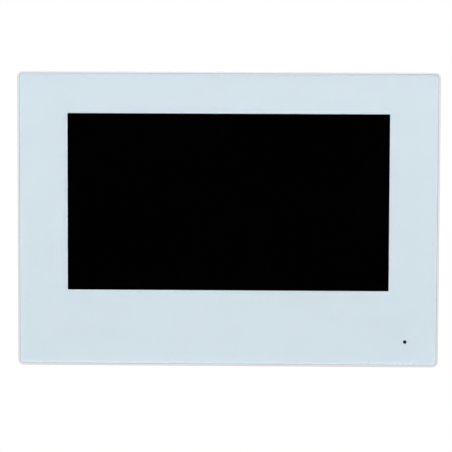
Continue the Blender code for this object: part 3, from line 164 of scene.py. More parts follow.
# %% Pale floor
FLOOR_DROP = 1.30
FLOOR_SIZE = 60.0
FLOOR_NEAR = (0.8, 0.6)  # this far out, in metres, the floor shows this share of plain white
FLOOR_FAR = (3.0, 1.0)


def by_distance(owner, near, far, **settings):
    """Value that runs from near to far, each a distance in metres and a value, out from a sheet's middle."""
    spot = add(owner, "TexCoord", {}).outputs["Object"]
    out = add(owner, "VectorMath", {0: spot}, operation="LENGTH")
    run = add(owner, "MapRange", {"Value": out.outputs["Value"], "From Min": near[0], "From Max": far[0],
                                  "To Min": near[1], "To Max": far[1]}, **settings)
    return run.outputs[0]


bpy.ops.mesh.primitive_plane_add(size=FLOOR_SIZE, location=(0.0, 0.0, -FLOOR_DROP))
floor = bpy.context.object
floor.name = "floor"
floor.visible_glossy = floor.visible_transmission = False
floor.visible_diffuse = floor.visible_shadow = False
paper = bpy.data.materials.new("white_backdrop_paper")
paper.use_nodes = True
sheet = paper.node_tree.nodes["Principled BSDF"]
sheet.inputs["Base Color"].default_value = linear("F4F5F6")
sheet.inputs["Roughness"].default_value = 0.9
glow = add(paper, "Emission", {"Color": linear("FFFFFF"), "Strength": 1.0})
eye = add(paper, "LightPath", {})
fade = by_distance(paper, FLOOR_NEAR, FLOOR_FAR)
share = add(paper, "Math", {0: eye.outputs["Is Camera Ray"], 1: fade}, operation="MULTIPLY")
white = add(paper, "MixShader", {0: share.outputs[0], 1: sheet.outputs[0], 2: glow.outputs[0]})
paper.node_tree.links.new(white.outputs[0], paper.node_tree.nodes["Material Output"].inputs["Surface"])
paper.cycles.emission_sampling = "NONE"
floor.data.materials.append(paper)
print("floor:", FLOOR_SIZE, "m wide,", FLOOR_DROP, "m below")

# %% Black flag with a painted sheen
FLAG_BACK = 2.5
FLAG_SIZE = 12.0
FLAG_NEAR = (1.0, 0.0)   # this far from its middle, in metres, the flag glows this much
FLAG_FAR = (5.0, 0.2)
bpy.ops.mesh.primitive_plane_add(size=FLAG_SIZE, location=(0.0, -FLAG_BACK, 0.0),
                                 rotation=(math.pi / 2, 0.0, 0.0))
flag = bpy.context.object
flag.name = "black_flag"
flag.visible_camera = flag.visible_diffuse = flag.visible_shadow = False
flag_sheen_material = bpy.data.materials.new("black_flag_with_painted_sheen")
flag_sheen_material.use_nodes = True
cloth = flag_sheen_material.node_tree.nodes["Principled BSDF"]
cloth.inputs["Base Color"].default_value = linear("060606")
cloth.inputs["Roughness"].default_value = 1.0
cloth.inputs["Specular IOR Level"].default_value = 0.0
cloth.inputs["Emission Color"].default_value = linear("FFFFFF")
# Painted sheen: the flag glows more away from its middle, and the glass mirrors that glow at a slant.
painted_sheen = by_distance(flag_sheen_material, FLAG_NEAR, FLAG_FAR, interpolation_type="SMOOTHSTEP")
flag_sheen_material.node_tree.links.new(painted_sheen, cloth.inputs["Emission Strength"])
flag_sheen_material.cycles.emission_sampling = "NONE"
flag.data.materials.append(flag_sheen_material)
print("stage:", floor.name, "and", flag.name)

# %% Softboxes
# name: (place in metres, watts)
SOFTBOXES = {"front_softbox": ((0.0, -1.88, 0.68), 20.3), "back_softbox": ((0.0, 1.30, 1.10), 15.0)}
SOFTBOX_SIZE = 1.0
for name, (place, watts) in SOFTBOXES.items():
    lamp = bpy.data.objects.new(name, bpy.data.lights.new(name, "AREA"))
    lamp.data.size = SOFTBOX_SIZE
    lamp.data.energy = watts
    lamp.location = place
    lamp.rotation_mode = "QUATERNION"
    lamp.rotation_quaternion = (-Vector(place)).to_track_quat("-Z", "Y")
    lamp.visible_camera = lamp.visible_transmission = False
    bpy.context.scene.collection.objects.link(lamp)
print("lamps:", ", ".join(SOFTBOXES))

# %% [markdown]
# ## How a finish is built
#
# Real surfaces vary: a moulded skin has a fine grain, zinc has crystals, paint has a mottle. Each finish below
# starts from one shader with the values that hold all over it. One pattern then drives the rest together: it
# mixes two close colours, moves the roughness a little, and raises a relief in thousandths of a millimetre, so
# that colour and gloss change in the same places, as they do on the real thing.

# %% Start a finish, and let a pattern drive it
finishes = {}


def start(slot, name, **sockets):
    """New material for a slot. Returns it, its shader and its Object coordinates."""
    material = bpy.data.materials.new(name)
    material.use_nodes = True
    shader = material.node_tree.nodes["Principled BSDF"]
    for socket, value in sockets.items():
        shader.inputs[socket.replace("_", " ")].default_value = value
    finishes[slot] = material
    return material, shader, add(material, "TexCoord", {}).outputs["Object"]


def drive(material, shader, pattern, colours, gloss, relief_mm, strength=0.5):
    """Let a pattern from 0 to 1 mix two hex colours, move the roughness between two values and raise a relief."""
    links = material.node_tree.links
    shade = add(material, "Mix", {0: pattern, 6: linear(colours[0]), 7: linear(colours[1])}, data_type="RGBA")
    rough = add(material, "MapRange", {"Value": pattern, "To Min": gloss[0], "To Max": gloss[1]})
    bump = add(material, "Bump", {"Height": pattern, "Distance": relief_mm * MM, "Strength": strength})
    links.new(shade.outputs[2], shader.inputs["Base Color"])
    links.new(rough.outputs[0], shader.inputs["Roughness"])
    links.new(bump.outputs[0], shader.inputs["Normal"])


print("finish helpers are ready")

# %% [markdown]
# ## The front: glass, ink and the dark screen
#
# The front is one sheet of toughened float glass. Float glass is drawn out on rollers, which leaves a very long,
# very low wave. A glass shader alone would keep the lamps from what lies behind it, because a lamp can't be
# traced through a bend, so shadow rays meet a clear shader instead. The white border is ink that is printed on
# the back of the glass through a mesh: flat, even, and cool in tone because it is seen through the glass.

# %% Toughened glass
def let_lamps_through(material, shown, tint):
    """Show one shader to the eye, and a clear one of this hex tint to shadow rays."""
    clear = add(material, "BsdfTransparent", {"Color": linear(tint)})
    light_path = add(material, "LightPath", {})
    both = add(material, "MixShader", {0: light_path.outputs["Is Shadow Ray"], 1: shown, 2: clear.outputs[0]})
    surface = material.node_tree.nodes["Material Output"].inputs["Surface"]
    material.node_tree.links.new(both.outputs[0], surface)


material, shader, place = start("cover_glass", "toughened_float_glass", Base_Color=linear("FFFFFF"),
                                Roughness=0.0, IOR=1.52, Transmission_Weight=1.0)
wave = add(material, "TexNoise", {"Vector": place, "Scale": per_metre(45.0), "Detail": 0.0})
bump = add(material, "Bump", {"Height": wave.outputs[0], "Distance": 0.002 * MM, "Strength": 0.2})
material.node_tree.links.new(bump.outputs[0], shader.inputs["Normal"])
print("glass:", material.name)

# %% The glass's ground edge
# The cut edge is ground on a belt before toughening, which leaves it frosted white for 0.4 mm all round.
GROUND_EDGE = 0.4 * MM
glass_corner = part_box("cover_glass")[1]
axes = add(material, "SeparateXYZ", {0: place})
across = add(material, "Math", {0: axes.outputs["X"]}, operation="ABSOLUTE")
upward = add(material, "Math", {0: axes.outputs["Z"]}, operation="ABSOLUTE")
past_side = add(material, "Math", {0: across.outputs[0], 1: glass_corner.x - GROUND_EDGE},
                operation="GREATER_THAN")
past_end = add(material, "Math", {0: upward.outputs[0], 1: glass_corner.z - GROUND_EDGE},
               operation="GREATER_THAN")
at_edge = add(material, "Math", {0: past_side.outputs[0], 1: past_end.outputs[0]}, operation="MAXIMUM")
grit = add(material, "TexNoise", {"Vector": place, "Scale": per_metre(0.3), "Detail": 2.0})
frost = add(material, "Mix", {0: grit.outputs[0], 6: linear("E6ECF1"), 7: linear("ECF1F5")}, data_type="RGBA")
ground = add(material, "BsdfDiffuse", {"Color": frost.outputs[2]})
edged = add(material, "MixShader", {0: at_edge.outputs[0], 1: shader.outputs[0], 2: ground.outputs[0]})
print("ground edge in mm:", GROUND_EDGE / MM)

# %% The glass's voice hole, painted dark
# The small hole for the voice is drilled in front of the microphone. The glass within 0.8 mm of its axis, its
# wall and a thin ring round it, is painted black: painted shade for the deep hole.
HOLE_SHADE_R = 0.8 * MM
capsule_low, capsule_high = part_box("microphone")
voice_hole = (capsule_low + capsule_high) / 2
on_front = add(material, "CombineXYZ", {"X": axes.outputs["X"], "Z": axes.outputs["Z"]})
from_hole = add(material, "VectorMath", {0: on_front.outputs[0], 1: (voice_hole.x, 0.0, voice_hole.z)},
                operation="DISTANCE")
in_hole = add(material, "Math", {0: from_hole.outputs["Value"], 1: HOLE_SHADE_R}, operation="LESS_THAN")
# Painted shade: plain black for the wall of the hole and a thin ring round it.
ink = add(material, "BsdfDiffuse", {"Color": linear("050608")})
hole_shaded = add(material, "MixShader", {0: in_hole.outputs[0], 1: edged.outputs[0], 2: ink.outputs[0]})
let_lamps_through(material, hole_shaded.outputs[0], "FFFFFF")
print("hole at", [round(v / MM, 1) for v in voice_hole], "mm")

# %% White border ink
# Even and matt: the eye sees one flat pale blue-white, with the faintest cloud where the ink lies thicker.
material, shader, place = start("border_print", "white_screen_printed_ink", Specular_IOR_Level=0.2)
cloud = add(material, "TexNoise", {"Vector": place, "Scale": per_metre(9.0), "Detail": 3.0})
drive(material, shader, cloud.outputs[0], ("D2DFE7", "D4E1E9"), (0.55, 0.62), 0.002, 0.1)
print("border:", material.name)

# %% Dark screen
# A switched-off liquid-crystal cell is a black mirror behind a polariser, with a grid of cells that only just
# breaks up the black. The real pitch is 0.15 mm; it is drawn at 0.6 mm, the finest that the picture can hold.
# Its coat keeps the film itself from mirroring anything: the gloss in front of it is the glass.
material, shader, place = start("screen_cell", "black_polariser_film", Specular_IOR_Level=0.0)
grid = add(material, "TexChecker", {"Vector": place, "Scale": per_metre(0.6), "Color1": linear("FFFFFF"),
                                    "Color2": linear("000000")})
drive(material, shader, grid.outputs["Fac"], ("010101", "020203"), (0.30, 0.36), 0.001, 0.05)
print("screen:", material.name)

# %% Touch sensor
# The sensor is a clear film with a diamond grid of electrodes that the eye finds only at a slant, so the grid
# is the faintest change of tint, and the film bends light no more than the air gap does.
material, shader, place = start("touch_glass", "clear_touch_film", Roughness=0.0, IOR=1.02,
                                Transmission_Weight=1.0, Specular_IOR_Level=0.0)
diamonds = add(material, "Mapping", {"Vector": place, "Rotation": (0.0, math.radians(45.0), 0.0)})
grid = add(material, "TexChecker", {"Vector": diamonds.outputs[0], "Scale": per_metre(4.5),
                                    "Color1": linear("F6F7F8"), "Color2": linear("FCFCFC")})
material.node_tree.links.new(grid.outputs["Color"], shader.inputs["Base Color"])
let_lamps_through(material, shader.outputs[0], "FCFCFC")
print("sensor:", material.name)

# %% [markdown]
# ## The shell: two mouldings of white plastic
#
# The frame and the cover are moulded ABS. The frame shows, so its tool is polished to a satin: a soft broad
# highlight and almost no grain. The cover faces the wall, and its tool is spark eroded, which leaves a fine
# pebbled skin that hides scratches. The same plastic thus has two looks, and they are two materials.

# %% Satin frame and pebbled cover
material, shader, place = start("frame_plastic", "satin_white_ABS", IOR=1.53, Specular_IOR_Level=0.45)
skin = add(material, "TexNoise", {"Vector": place, "Scale": per_metre(1.2), "Detail": 2.0})
drive(material, shader, skin.outputs[0], ("E6E9F0", "E8EBF2"), (0.34, 0.42), 0.004, 0.25)

# Spark-eroded grain is about 0.15 mm across; it is drawn at 0.7 mm, so that it shows from a step away.
material, shader, place = start("cover_plastic", "spark_textured_white_ABS", IOR=1.53, Specular_IOR_Level=0.4)
pebble = add(material, "TexVoronoi", {"Vector": place, "Scale": per_metre(0.7)}, feature="SMOOTH_F1")
broad = add(material, "TexNoise", {"Vector": place, "Scale": per_metre(14.0), "Detail": 3.0})
mixed = add(material, "Mix", {0: 0.3, 2: pebble.outputs["Distance"], 3: broad.outputs[0]})
drive(material, shader, mixed.outputs[0], ("D2D5DA", "DDE0E4"), (0.50, 0.64), 0.06, 0.45)
print("shell:", finishes["frame_plastic"].name, "and", finishes["cover_plastic"].name)

# %% [markdown]
# ## The metals
#
# The wall plate, the chassis and the screen's tray are sheet steel that was hot-dip galvanised: zinc freezes in
# flat crystals from 5 to 15 mm wide, each with its own grey and its own shine, which a cell pattern gives
# directly. Springs show fine rolling lines, screws a speckle in their plating, and tin-plated cans a soft cloud.

# %% Galvanised sheet
GALVANISED = {"plate_steel": ("galvanised_wall_plate", 5.0, ("9A9FA1", "B3B7B9")),
              "sheet_steel": ("galvanised_chassis_sheet", 5.0, ("8F9496", "AAAFB1"))}
for slot, (name, crystal_mm, greys) in GALVANISED.items():
    material, shader, place = start(slot, name, Metallic=0.9)
    crystals = add(material, "TexVoronoi", {"Vector": place, "Scale": per_metre(crystal_mm)})
    tone = add(material, "SeparateColor", {0: crystals.outputs["Color"]})
    frost = add(material, "TexNoise", {"Vector": place, "Scale": per_metre(1.1), "Detail": 4.0})
    mixed = add(material, "Mix", {0: 0.35, 2: tone.outputs[0], 3: frost.outputs[0]})
    drive(material, shader, mixed.outputs[0], greys, (0.48, 0.66), 0.01, 0.3)
    print("galvanised:", material.name)

# %% Rolled spring steel, turned screws, tin plate
material, shader, place = start("spring_steel", "rolled_spring_steel", Metallic=1.0)
rolling = add(material, "Mapping", {"Vector": place, "Scale": (1.0, 1.0, 0.04)})
lines = add(material, "TexNoise", {"Vector": rolling.outputs[0], "Scale": per_metre(0.3), "Detail": 3.0})
drive(material, shader, lines.outputs[0], ("8D8A84", "B4B0A8"), (0.24, 0.40), 0.004, 0.3)

material, shader, place = start("screw_steel", "nickel_plated_screw_steel", Metallic=1.0)
speckle = add(material, "TexNoise", {"Vector": place, "Scale": per_metre(0.25), "Detail": 3.0})
drive(material, shader, speckle.outputs[0], ("9C978E", "C9C4BA"), (0.20, 0.38), 0.006, 0.3)

material, shader, place = start("tin_plate", "tin_plated_steel", Metallic=1.0)
cloud = add(material, "TexNoise", {"Vector": place, "Scale": per_metre(2.5), "Detail": 5.0, "Distortion": 0.6})
drive(material, shader, cloud.outputs[0], ("A5A7A8", "CDCFCF"), (0.22, 0.40), 0.005, 0.3)
print("metals:", finishes["spring_steel"].name, finishes["screw_steel"].name, finishes["tin_plate"].name)

# %% Microphone can
# A microphone capsule is a tin-plated can whose face is covered by a disc of black felt.
FELT_DEPTH = 0.3 * MM
material, shader, place = start("microphone_can", "felt_faced_tin_can")
axes = add(material, "SeparateXYZ", {0: place})
can = add(material, "Math", {0: axes.outputs["Y"], 1: capsule_low.y + FELT_DEPTH}, operation="GREATER_THAN")
fluff = add(material, "TexNoise", {"Vector": place, "Scale": per_metre(0.2), "Detail": 4.0})
drive(material, shader, fluff.outputs[0], ("050505", "0E0E0E"), (0.80, 0.95), 0.05, 0.6)
felt = shader.inputs["Base Color"].links[0].from_socket
shade = add(material, "Mix", {0: can.outputs[0], 6: felt, 7: linear("B9BBBB")}, data_type="RGBA")
shine = add(material, "MapRange", {"Value": can.outputs[0], "To Min": 0.9, "To Max": 0.3})
material.node_tree.links.new(shade.outputs[2], shader.inputs["Base Color"])
material.node_tree.links.new(shine.outputs[0], shader.inputs["Roughness"])
material.node_tree.links.new(can.outputs[0], shader.inputs["Metallic"])
print("microphone:", material.name)

# %% [markdown]
# ## The board and the connectors
#
# The board is glass-fibre laminate under green solder mask. Copper tracks stand a few hundredths proud under the
# mask and show as paler lines, mostly along two directions. The connectors are nylon and other moulded plastics,
# which are satin, with a slight swirl where the melt flowed in. Chips are matt epoxy.

# %% Solder mask with tracks
material, shader, place = start("circuit_board", "green_solder_mask", IOR=1.5, Specular_IOR_Level=0.5)
upright = add(material, "Mapping", {"Vector": place, "Rotation": (math.radians(90.0), 0.0, 0.0)})
tracks = add(material, "TexBrick", {"Vector": upright.outputs[0], "Scale": per_metre(3.0), "Mortar Size": 0.09,
                                    "Mortar Smooth": 0.2, "Bias": 0.0, "Brick Width": 2.6, "Row Height": 0.42,
                                    "Color1": linear("000000"), "Color2": linear("303030"),
                                    "Mortar": linear("FFFFFF")}, offset=0.35, squash=1.6)
level = add(material, "RGBToBW", {0: tracks.outputs["Color"]})
drive(material, shader, level.outputs[0], ("0B4B2C", "2F8A57"), (0.28, 0.38), 0.035, 0.5)
print("board:", material.name)

# %% Moulded connectors, chips and other plastics
# slot: (name, dark and light tone, roughness, grain in mm, relief in mm)
MOULDED = {"black_plastic": ("black_moulded_epoxy_and_nylon", ("0D0D0F", "19191B"), (0.42, 0.58), 0.8, 0.01),
           "green_plastic": ("green_moulded_polyamide", ("1D7A3E", "258A49"), (0.34, 0.46), 1.4, 0.006),
           "ivory_plastic": ("ivory_moulded_nylon", ("DAD4C2", "E8E2D1"), (0.36, 0.50), 1.4, 0.006),
           "film": ("white_diffuser_film", ("E4E6E8", "F0F1F2"), (0.62, 0.78), 0.6, 0.01),
           "tape": ("black_acrylic_foam_tape", ("0C0C0C", "171717"), (0.70, 0.86), 0.9, 0.02),
           "black_coverlay": ("black_polyimide_coverlay", ("060607", "0C0C0D"), (0.50, 0.62), 0.8, 0.004),
           "lead_rubber": ("black_soft_lead_jacket", ("0F0F10", "1B1B1C"), (0.44, 0.56), 1.2, 0.01),
           "rubber": ("black_moulded_rubber", ("101011", "1C1C1D"), (0.58, 0.72), 0.7, 0.015)}
for slot, (name, tones, gloss, grain_mm, relief_mm) in MOULDED.items():
    material, shader, place = start(slot, name, IOR=1.5, Specular_IOR_Level=0.4)
    flow = add(material, "TexNoise", {"Vector": place, "Scale": per_metre(grain_mm), "Detail": 3.0,
                                      "Distortion": 0.8})
    drive(material, shader, flow.outputs[0], tones, gloss, relief_mm, 0.4)
print("moulded:", ", ".join(values[0] for values in MOULDED.values()))

# %% Foam, paper, ferrite, flexible circuit, acrylic
# Foam shows its open cells, and paper its pulp fibres, which lie along the sheet.
material, shader, place = start("foam", "black_open_cell_foam", Specular_IOR_Level=0.1)
cells = add(material, "TexVoronoi", {"Vector": place, "Scale": per_metre(0.6)})
drive(material, shader, cells.outputs["Distance"], ("050505", "1E1E1E"), (0.85, 0.95), 0.12, 0.8)

material, shader, place = start("paper_cone", "black_pulp_paper", Specular_IOR_Level=0.2)
pulp = add(material, "Mapping", {"Vector": place, "Scale": (1.0, 1.0, 0.35)})
fibres = add(material, "TexNoise", {"Vector": pulp.outputs[0], "Scale": per_metre(0.4), "Detail": 5.0})
drive(material, shader, fibres.outputs[0], ("17171A", "2C2C30"), (0.74, 0.90), 0.03, 0.6)

# Ferrite is pressed powder, dark and dull, with a crystalline glint.
material, shader, place = start("ferrite", "sintered_ferrite", Specular_IOR_Level=0.5)
grains = add(material, "TexVoronoi", {"Vector": place, "Scale": per_metre(0.3)})
drive(material, shader, grains.outputs["Distance"], ("1B1B1E", "37373B"), (0.40, 0.62), 0.01, 0.4)

# Copper lines under amber film. They are 0.5 mm apart, and drawn at 1.6 mm, so that they show through the
# vents. At a scale of 1, this texture repeats ten times in a length of pi.
material, shader, place = start("amber_flex", "amber_polyimide_film", IOR=1.6)
copper = add(material, "TexWave", {"Vector": place, "Scale": per_metre(1.6) * math.pi / 10, "Distortion": 0.2},
             bands_direction="X")
drive(material, shader, copper.outputs["Fac"], ("8A4A0F", "C9822F"), (0.26, 0.40), 0.01, 0.4)

# Light-guide acrylic carries rows of printed dots that scatter the light forwards.
material, shader, place = start("clear_acrylic", "dotted_light_guide_acrylic", IOR=1.49,
                                Transmission_Weight=0.85)
dots = add(material, "TexVoronoi", {"Vector": place, "Scale": per_metre(1.6), "Randomness": 0.0})
drive(material, shader, dots.outputs["Distance"], ("F2F4F5", "FBFCFC"), (0.08, 0.30), 0.004, 0.3)
print("finishes in all:", len(finishes))

# %% [markdown]
# ## Put the finishes on
#
# Every solid came in with a slot that says what it is made of. The finish of that name goes into the slot, so
# the solids themselves stay untouched.

# %% Fill the slots
slot_of = {}
for name, node in nodes.items():
    for holder in node.material_slots:
        slot_of[name] = holder.material.name.split(".")[0]
for name, node in nodes.items():
    node.material_slots[0].material = finishes[slot_of[name]]
for name, finish in {"microphone": "microphone_can", "touch_flex": "black_coverlay"}.items():
    nodes[name].material_slots[0].material = finishes[finish]
print("dressed solids:", len(slot_of), "with", len(set(slot_of.values())), "finishes")

# %% [markdown]
# ## Rounded edges on the frame and the plate
#
# No moulded or pressed edge is knife sharp: each one carries a thin bright line where it catches the lamp. The
# solids arrive as loose triangles, so a copy is merged first, its flat seams are dissolved, and a bevel then
# rounds what is left of the sharp edges. A bevel shader would look alike here, but real geometry also travels.
# Normals that are weighted by area keep the large faces flat, so that only the thin rounds shade from one
# face to the next.

# %% Helpers for pieces
def begin_edit(piece):
    """Make one piece the only selected one and enter edit mode."""
    bpy.ops.object.select_all(action="DESELECT")
    piece.select_set(True)
    bpy.context.view_layer.objects.active = piece
    bpy.ops.object.mode_set(mode="EDIT")


def apply_modifier(piece, kind, **settings):
    """Add a modifier with its settings and apply it."""
    modifier = piece.modifiers.new(kind.lower(), kind)
    for name, value in settings.items():
        setattr(modifier, name, value)
    bpy.context.view_layer.objects.active = piece
    bpy.ops.object.modifier_apply(modifier=modifier.name)


def dress(piece, body, finish, *replaced):
    """Give a piece its finish, let it ride on a body, and let it stand for solids."""
    piece.data.materials.clear()
    piece.data.materials.append(finishes[finish])
    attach(piece, body)
    if replaced:
        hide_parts(*replaced)


print("piece helpers are ready")

# %% Copies with rounded edges
# node: (body, radius of its edges in mm)
ROUNDED = {"front_frame": ("monitor", 0.10), "wall_plate": ("wall_plate", 0.12)}
MERGE = 0.001 * MM                 # points closer than this are one point
FLAT_ANGLE = math.radians(0.3)     # faces that meet at less than this are one face
EDGE_ANGLE = math.radians(50.0)    # edges that turn by more than this are rounded
ROUND_ANGLE = math.radians(60.0)   # shading runs on across edges that turn by less
for node, (body, edge_mm) in ROUNDED.items():
    piece = bpy.data.objects.new(node + "_rounded", nodes[node].data.copy())
    bpy.context.scene.collection.objects.link(piece)
    begin_edit(piece)
    bpy.ops.mesh.select_all(action="SELECT")
    bpy.ops.mesh.remove_doubles(threshold=MERGE)
    bpy.ops.mesh.dissolve_limited(angle_limit=FLAT_ANGLE)
    bpy.ops.object.mode_set(mode="OBJECT")
    apply_modifier(piece, "BEVEL", width=edge_mm * MM, segments=2, limit_method="ANGLE",
                   angle_limit=EDGE_ANGLE, use_clamp_overlap=False)
    bpy.ops.object.shade_smooth_by_angle(angle=ROUND_ANGLE)
    apply_modifier(piece, "WEIGHTED_NORMAL", mode="FACE_AREA", weight=100, keep_sharp=True)
    dress(piece, body, slot_of[node], node)
    print(piece.name, "has", len(piece.data.polygons), "faces")

# %% [markdown]
# ## Screws
#
# The sixteen screws are pan heads with a cross recess and a rolled thread. One is modelled for each length:
# a cylinder is the head, its top edge is bevelled to the pan shape, the face below is inset and extruded turn
# by turn into the thread, and two tapered bars cut the cross. Each place then gets a copy with its own mesh.

# %% Helpers for faces
FACING = 0.9   # a face whose normal has this much of a direction points that way


def pick_faces(piece, wanted):
    """In edit mode, select the faces that pass a test and no others."""
    bpy.ops.mesh.select_mode(type="FACE")
    bpy.ops.mesh.select_all(action="DESELECT")
    bpy.ops.object.mode_set(mode="OBJECT")
    for face in piece.data.polygons:
        face.select = wanted(face)
    bpy.ops.object.mode_set(mode="EDIT")


def grow_down(amount, width):
    """Extrude the picked face towards -Y and scale its outline."""
    bpy.ops.mesh.extrude_region_move(TRANSFORM_OT_translate={"value": (0.0, -amount, 0.0)})
    bpy.ops.transform.resize(value=(width, 1.0, width), center_override=(0.0, 0.0, 0.0))


print("face helpers are ready")

# %% Model a screw along +Y, with the top of its head at the origin
HEAD_R = 2.0 * MM
HEAD_H = 1.2 * MM
SHANK_R = 1.1 * MM
THREAD_ROOT = 0.78       # share of the thread's radius
THREAD_PITCH = 0.6 * MM
CROSS_SPAN = 2.3 * MM
CROSS_WIDTH = 0.55 * MM
CROSS_DEPTH = 0.75 * MM
PAN = 0.45               # share of the head's height that its round top edge takes
POINT = 0.25             # share of the thread's radius that is left at the point
CROSS_TAPER = 0.55       # share of the cross's width that is left at its floor
SMOOTH_ANGLE = math.radians(32.0)


def model_screw(name, length):
    """Pan-head screw of this length under its head."""
    bpy.ops.object.select_all(action="DESELECT")
    bpy.ops.mesh.primitive_cylinder_add(vertices=32, radius=HEAD_R, depth=HEAD_H,
                                        location=(0.0, -HEAD_H / 2, 0.0), rotation=(-math.pi / 2, 0.0, 0.0))
    screw = bpy.context.object
    screw.name = name
    bpy.ops.object.transform_apply(location=True, rotation=True, scale=True)
    begin_edit(screw)
    pick_faces(screw, lambda face: face.normal.y > FACING)
    bpy.ops.mesh.bevel(offset=HEAD_H * PAN, segments=4, affect="EDGES")
    pick_faces(screw, lambda face: face.normal.y < -FACING)
    bpy.ops.mesh.inset(thickness=HEAD_R - SHANK_R)
    turns = int((length - SHANK_R) / THREAD_PITCH)
    for _ in range(turns):
        grow_down(THREAD_PITCH / 2, THREAD_ROOT)
        grow_down(THREAD_PITCH / 2, 1.0 / THREAD_ROOT)
    grow_down(length - turns * THREAD_PITCH, POINT)
    bpy.ops.object.mode_set(mode="OBJECT")
    for turned in (0.0, math.pi / 2):
        bpy.ops.object.select_all(action="DESELECT")
        bpy.ops.mesh.primitive_cube_add(size=1.0, location=(0.0, 0.0, 0.0), rotation=(0.0, turned, 0.0),
                                        scale=(CROSS_SPAN, 2 * CROSS_DEPTH, CROSS_WIDTH))
        bar = bpy.context.object
        bpy.ops.object.transform_apply(location=True, rotation=True, scale=True)
        begin_edit(bar)
        pick_faces(bar, lambda face: face.normal.y < -FACING)
        bpy.ops.transform.resize(value=(CROSS_TAPER, 1.0, CROSS_TAPER), center_override=(0.0, 0.0, 0.0))
        bpy.ops.object.mode_set(mode="OBJECT")
        apply_modifier(screw, "BOOLEAN", object=bar, operation="DIFFERENCE", solver="EXACT")
        bpy.data.objects.remove(bar)
    bpy.ops.object.select_all(action="DESELECT")
    screw.select_set(True)
    bpy.context.view_layer.objects.active = screw
    bpy.ops.object.shade_smooth_by_angle(angle=SMOOTH_ANGLE)
    return screw


print("head in mm:", HEAD_R / MM, "by", HEAD_H / MM)

# %% Put a screw in each place
patterns = {}
for node in sorted(name for name in nodes if "_screw_" in name):
    low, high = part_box(node)
    length = round((high.y - low.y - HEAD_H) / MM, 2)
    if length not in patterns:
        patterns[length] = model_screw("pattern_screw", length * MM)
    from_inside = node.startswith("speaker")
    piece = bpy.data.objects.new(node + "_cross", patterns[length].data.copy())
    bpy.context.scene.collection.objects.link(piece)
    top = Vector(((low.x + high.x) / 2, low.y if from_inside else high.y, (low.z + high.z) / 2))
    half_turn = Matrix.Rotation(math.pi if from_inside else 0.0, 4, "X")
    piece.data.transform(Matrix.Translation(top) @ half_turn)
    dress(piece, "monitor", "screw_steel", node)
for pattern in patterns.values():
    bpy.data.objects.remove(pattern)
print("screw lengths in mm:", sorted(patterns))

# %% [markdown]
# ## The latch spring
#
# A strip of spring steel is riveted behind the plate, and its bump snaps into a notch in the cover. A strip is
# most easily drawn as one edge that is extruded along its route, and a Solidify modifier then gives it the
# sheet's thickness. The spring presses flat while the monitor is lifted over it.

# %% The strip's route
STRIP_W = 9.0 * MM
STRIP_T = 0.4 * MM
BUMP = 1.05 * MM
BUMP_HALF = 2.5 * MM
BUMP_FROM_END = 5.0 * MM
BUMP_STEPS = 8
ROOT_LENGTH = 4.6 * MM   # of the flat end under the rivet
LEAN = 0.4 * MM          # how far the free part leans towards the cover
END_MARGIN = 0.1 * MM
STRIP_EDGE = 0.06 * MM
spring_low, spring_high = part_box("latch_spring")
root_y = spring_high.y - STRIP_T / 2
bump_z = spring_low.z + BUMP_FROM_END
route = [(root_y, spring_high.z - END_MARGIN), (root_y, spring_high.z - ROOT_LENGTH)]
for step in range(BUMP_STEPS + 1):
    along = step / BUMP_STEPS
    rise = (1.0 - math.cos(2.0 * math.pi * along)) / 2.0
    route.append((root_y - LEAN - BUMP * rise, bump_z + BUMP_HALF - 2.0 * BUMP_HALF * along))
route.append((root_y, spring_low.z + END_MARGIN))
print("route:", len(route), "stations")

# %% Extrude the strip along its route
bpy.ops.object.select_all(action="DESELECT")
bpy.ops.mesh.primitive_plane_add(size=STRIP_W, location=(0.0, root_y, route[0][1] - STRIP_W / 2),
                                 rotation=(math.pi / 2, 0.0, 0.0))
latch = bpy.context.object
latch.name = "latch_spring_strip"
bpy.ops.object.transform_apply(location=True, rotation=True, scale=True)
begin_edit(latch)
bpy.ops.mesh.select_mode(type="EDGE")
bpy.ops.mesh.select_all(action="DESELECT")
bpy.ops.object.mode_set(mode="OBJECT")
for vertex in latch.data.vertices:
    if vertex.co.z < route[0][1] - STRIP_W / 2:
        vertex.co.z = route[1][1]
        vertex.select = True
for edge in latch.data.edges:
    edge.select = all(latch.data.vertices[i].select for i in edge.vertices)
bpy.ops.object.mode_set(mode="EDIT")
for (y, z), (next_y, next_z) in zip(route[1:], route[2:]):
    bpy.ops.mesh.extrude_region_move(TRANSFORM_OT_translate={"value": (0.0, next_y - y, next_z - z)})
bpy.ops.mesh.select_all(action="SELECT")
bpy.ops.mesh.normals_make_consistent(inside=False)
bpy.ops.object.mode_set(mode="OBJECT")
apply_modifier(latch, "SOLIDIFY", thickness=STRIP_T, offset=0.0)
apply_modifier(latch, "BEVEL", width=STRIP_EDGE, segments=2, limit_method="ANGLE", angle_limit=ROUND_ANGLE)
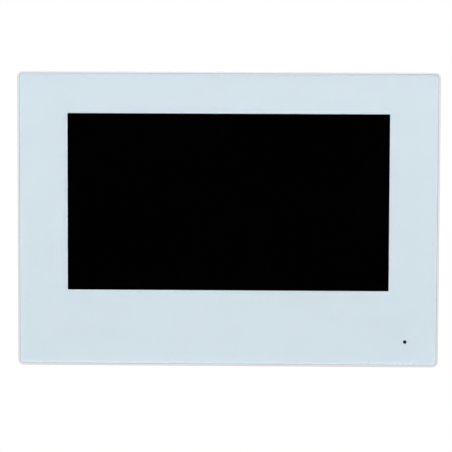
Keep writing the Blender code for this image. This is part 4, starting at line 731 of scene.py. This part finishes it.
bpy.ops.object.shade_smooth_by_angle(angle=SMOOTH_ANGLE)
dress(latch, "wall_plate", "spring_steel", "latch_spring")
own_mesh(latch)
print("latch strip:", len(latch.data.polygons), "faces")

# %% [markdown]
# ## The loudspeaker's roll
#
# The rubber edge of the cone is a half-round roll that lets the cone move. A plate of its outline gets rounded
# corners, and four insets, each raised or lowered a little, draw the half round; the middle is then taken out.

# %% Inset the roll
ROLL_STEPS = 4
ROLL_T = 0.2 * MM
ROLL_CORNER = 4.0 * MM
roll_low, roll_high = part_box("speaker_surround")
cone_low, cone_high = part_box("speaker_cone")
roll_middle = (roll_low + roll_high) / 2
roll_width = (roll_high.x - roll_low.x - (cone_high.x - cone_low.x)) / 2
roll_rise = roll_high.y - roll_low.y - ROLL_T
bpy.ops.object.select_all(action="DESELECT")
bpy.ops.mesh.primitive_plane_add(size=1.0, location=(roll_middle.x, roll_low.y + ROLL_T / 2, roll_middle.z),
                                 rotation=(-math.pi / 2, 0.0, 0.0))
roll = bpy.context.object
roll.name = "speaker_surround_roll"
roll.scale = (roll_high.x - roll_low.x, roll_high.z - roll_low.z, 1.0)
bpy.ops.object.transform_apply(location=True, rotation=True, scale=True)
begin_edit(roll)
bpy.ops.mesh.select_all(action="SELECT")
bpy.ops.mesh.bevel(offset=ROLL_CORNER, segments=8, affect="VERTICES")
pick_faces(roll, lambda face: True)
heights = [math.sin(math.pi * step / ROLL_STEPS) * roll_rise for step in range(ROLL_STEPS + 1)]
for before, after in zip(heights, heights[1:]):
    bpy.ops.mesh.inset(thickness=roll_width / ROLL_STEPS, depth=after - before)
bpy.ops.mesh.delete(type="FACE")
bpy.ops.object.mode_set(mode="OBJECT")
apply_modifier(roll, "SOLIDIFY", thickness=ROLL_T, offset=0.0)
apply_modifier(roll, "SUBSURF", levels=1, render_levels=1)
bpy.ops.object.shade_smooth_by_angle(angle=SMOOTH_ANGLE)
dress(roll, "monitor", "rubber", "speaker_surround")
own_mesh(roll)
print("roll:", len(roll.data.polygons), "faces")
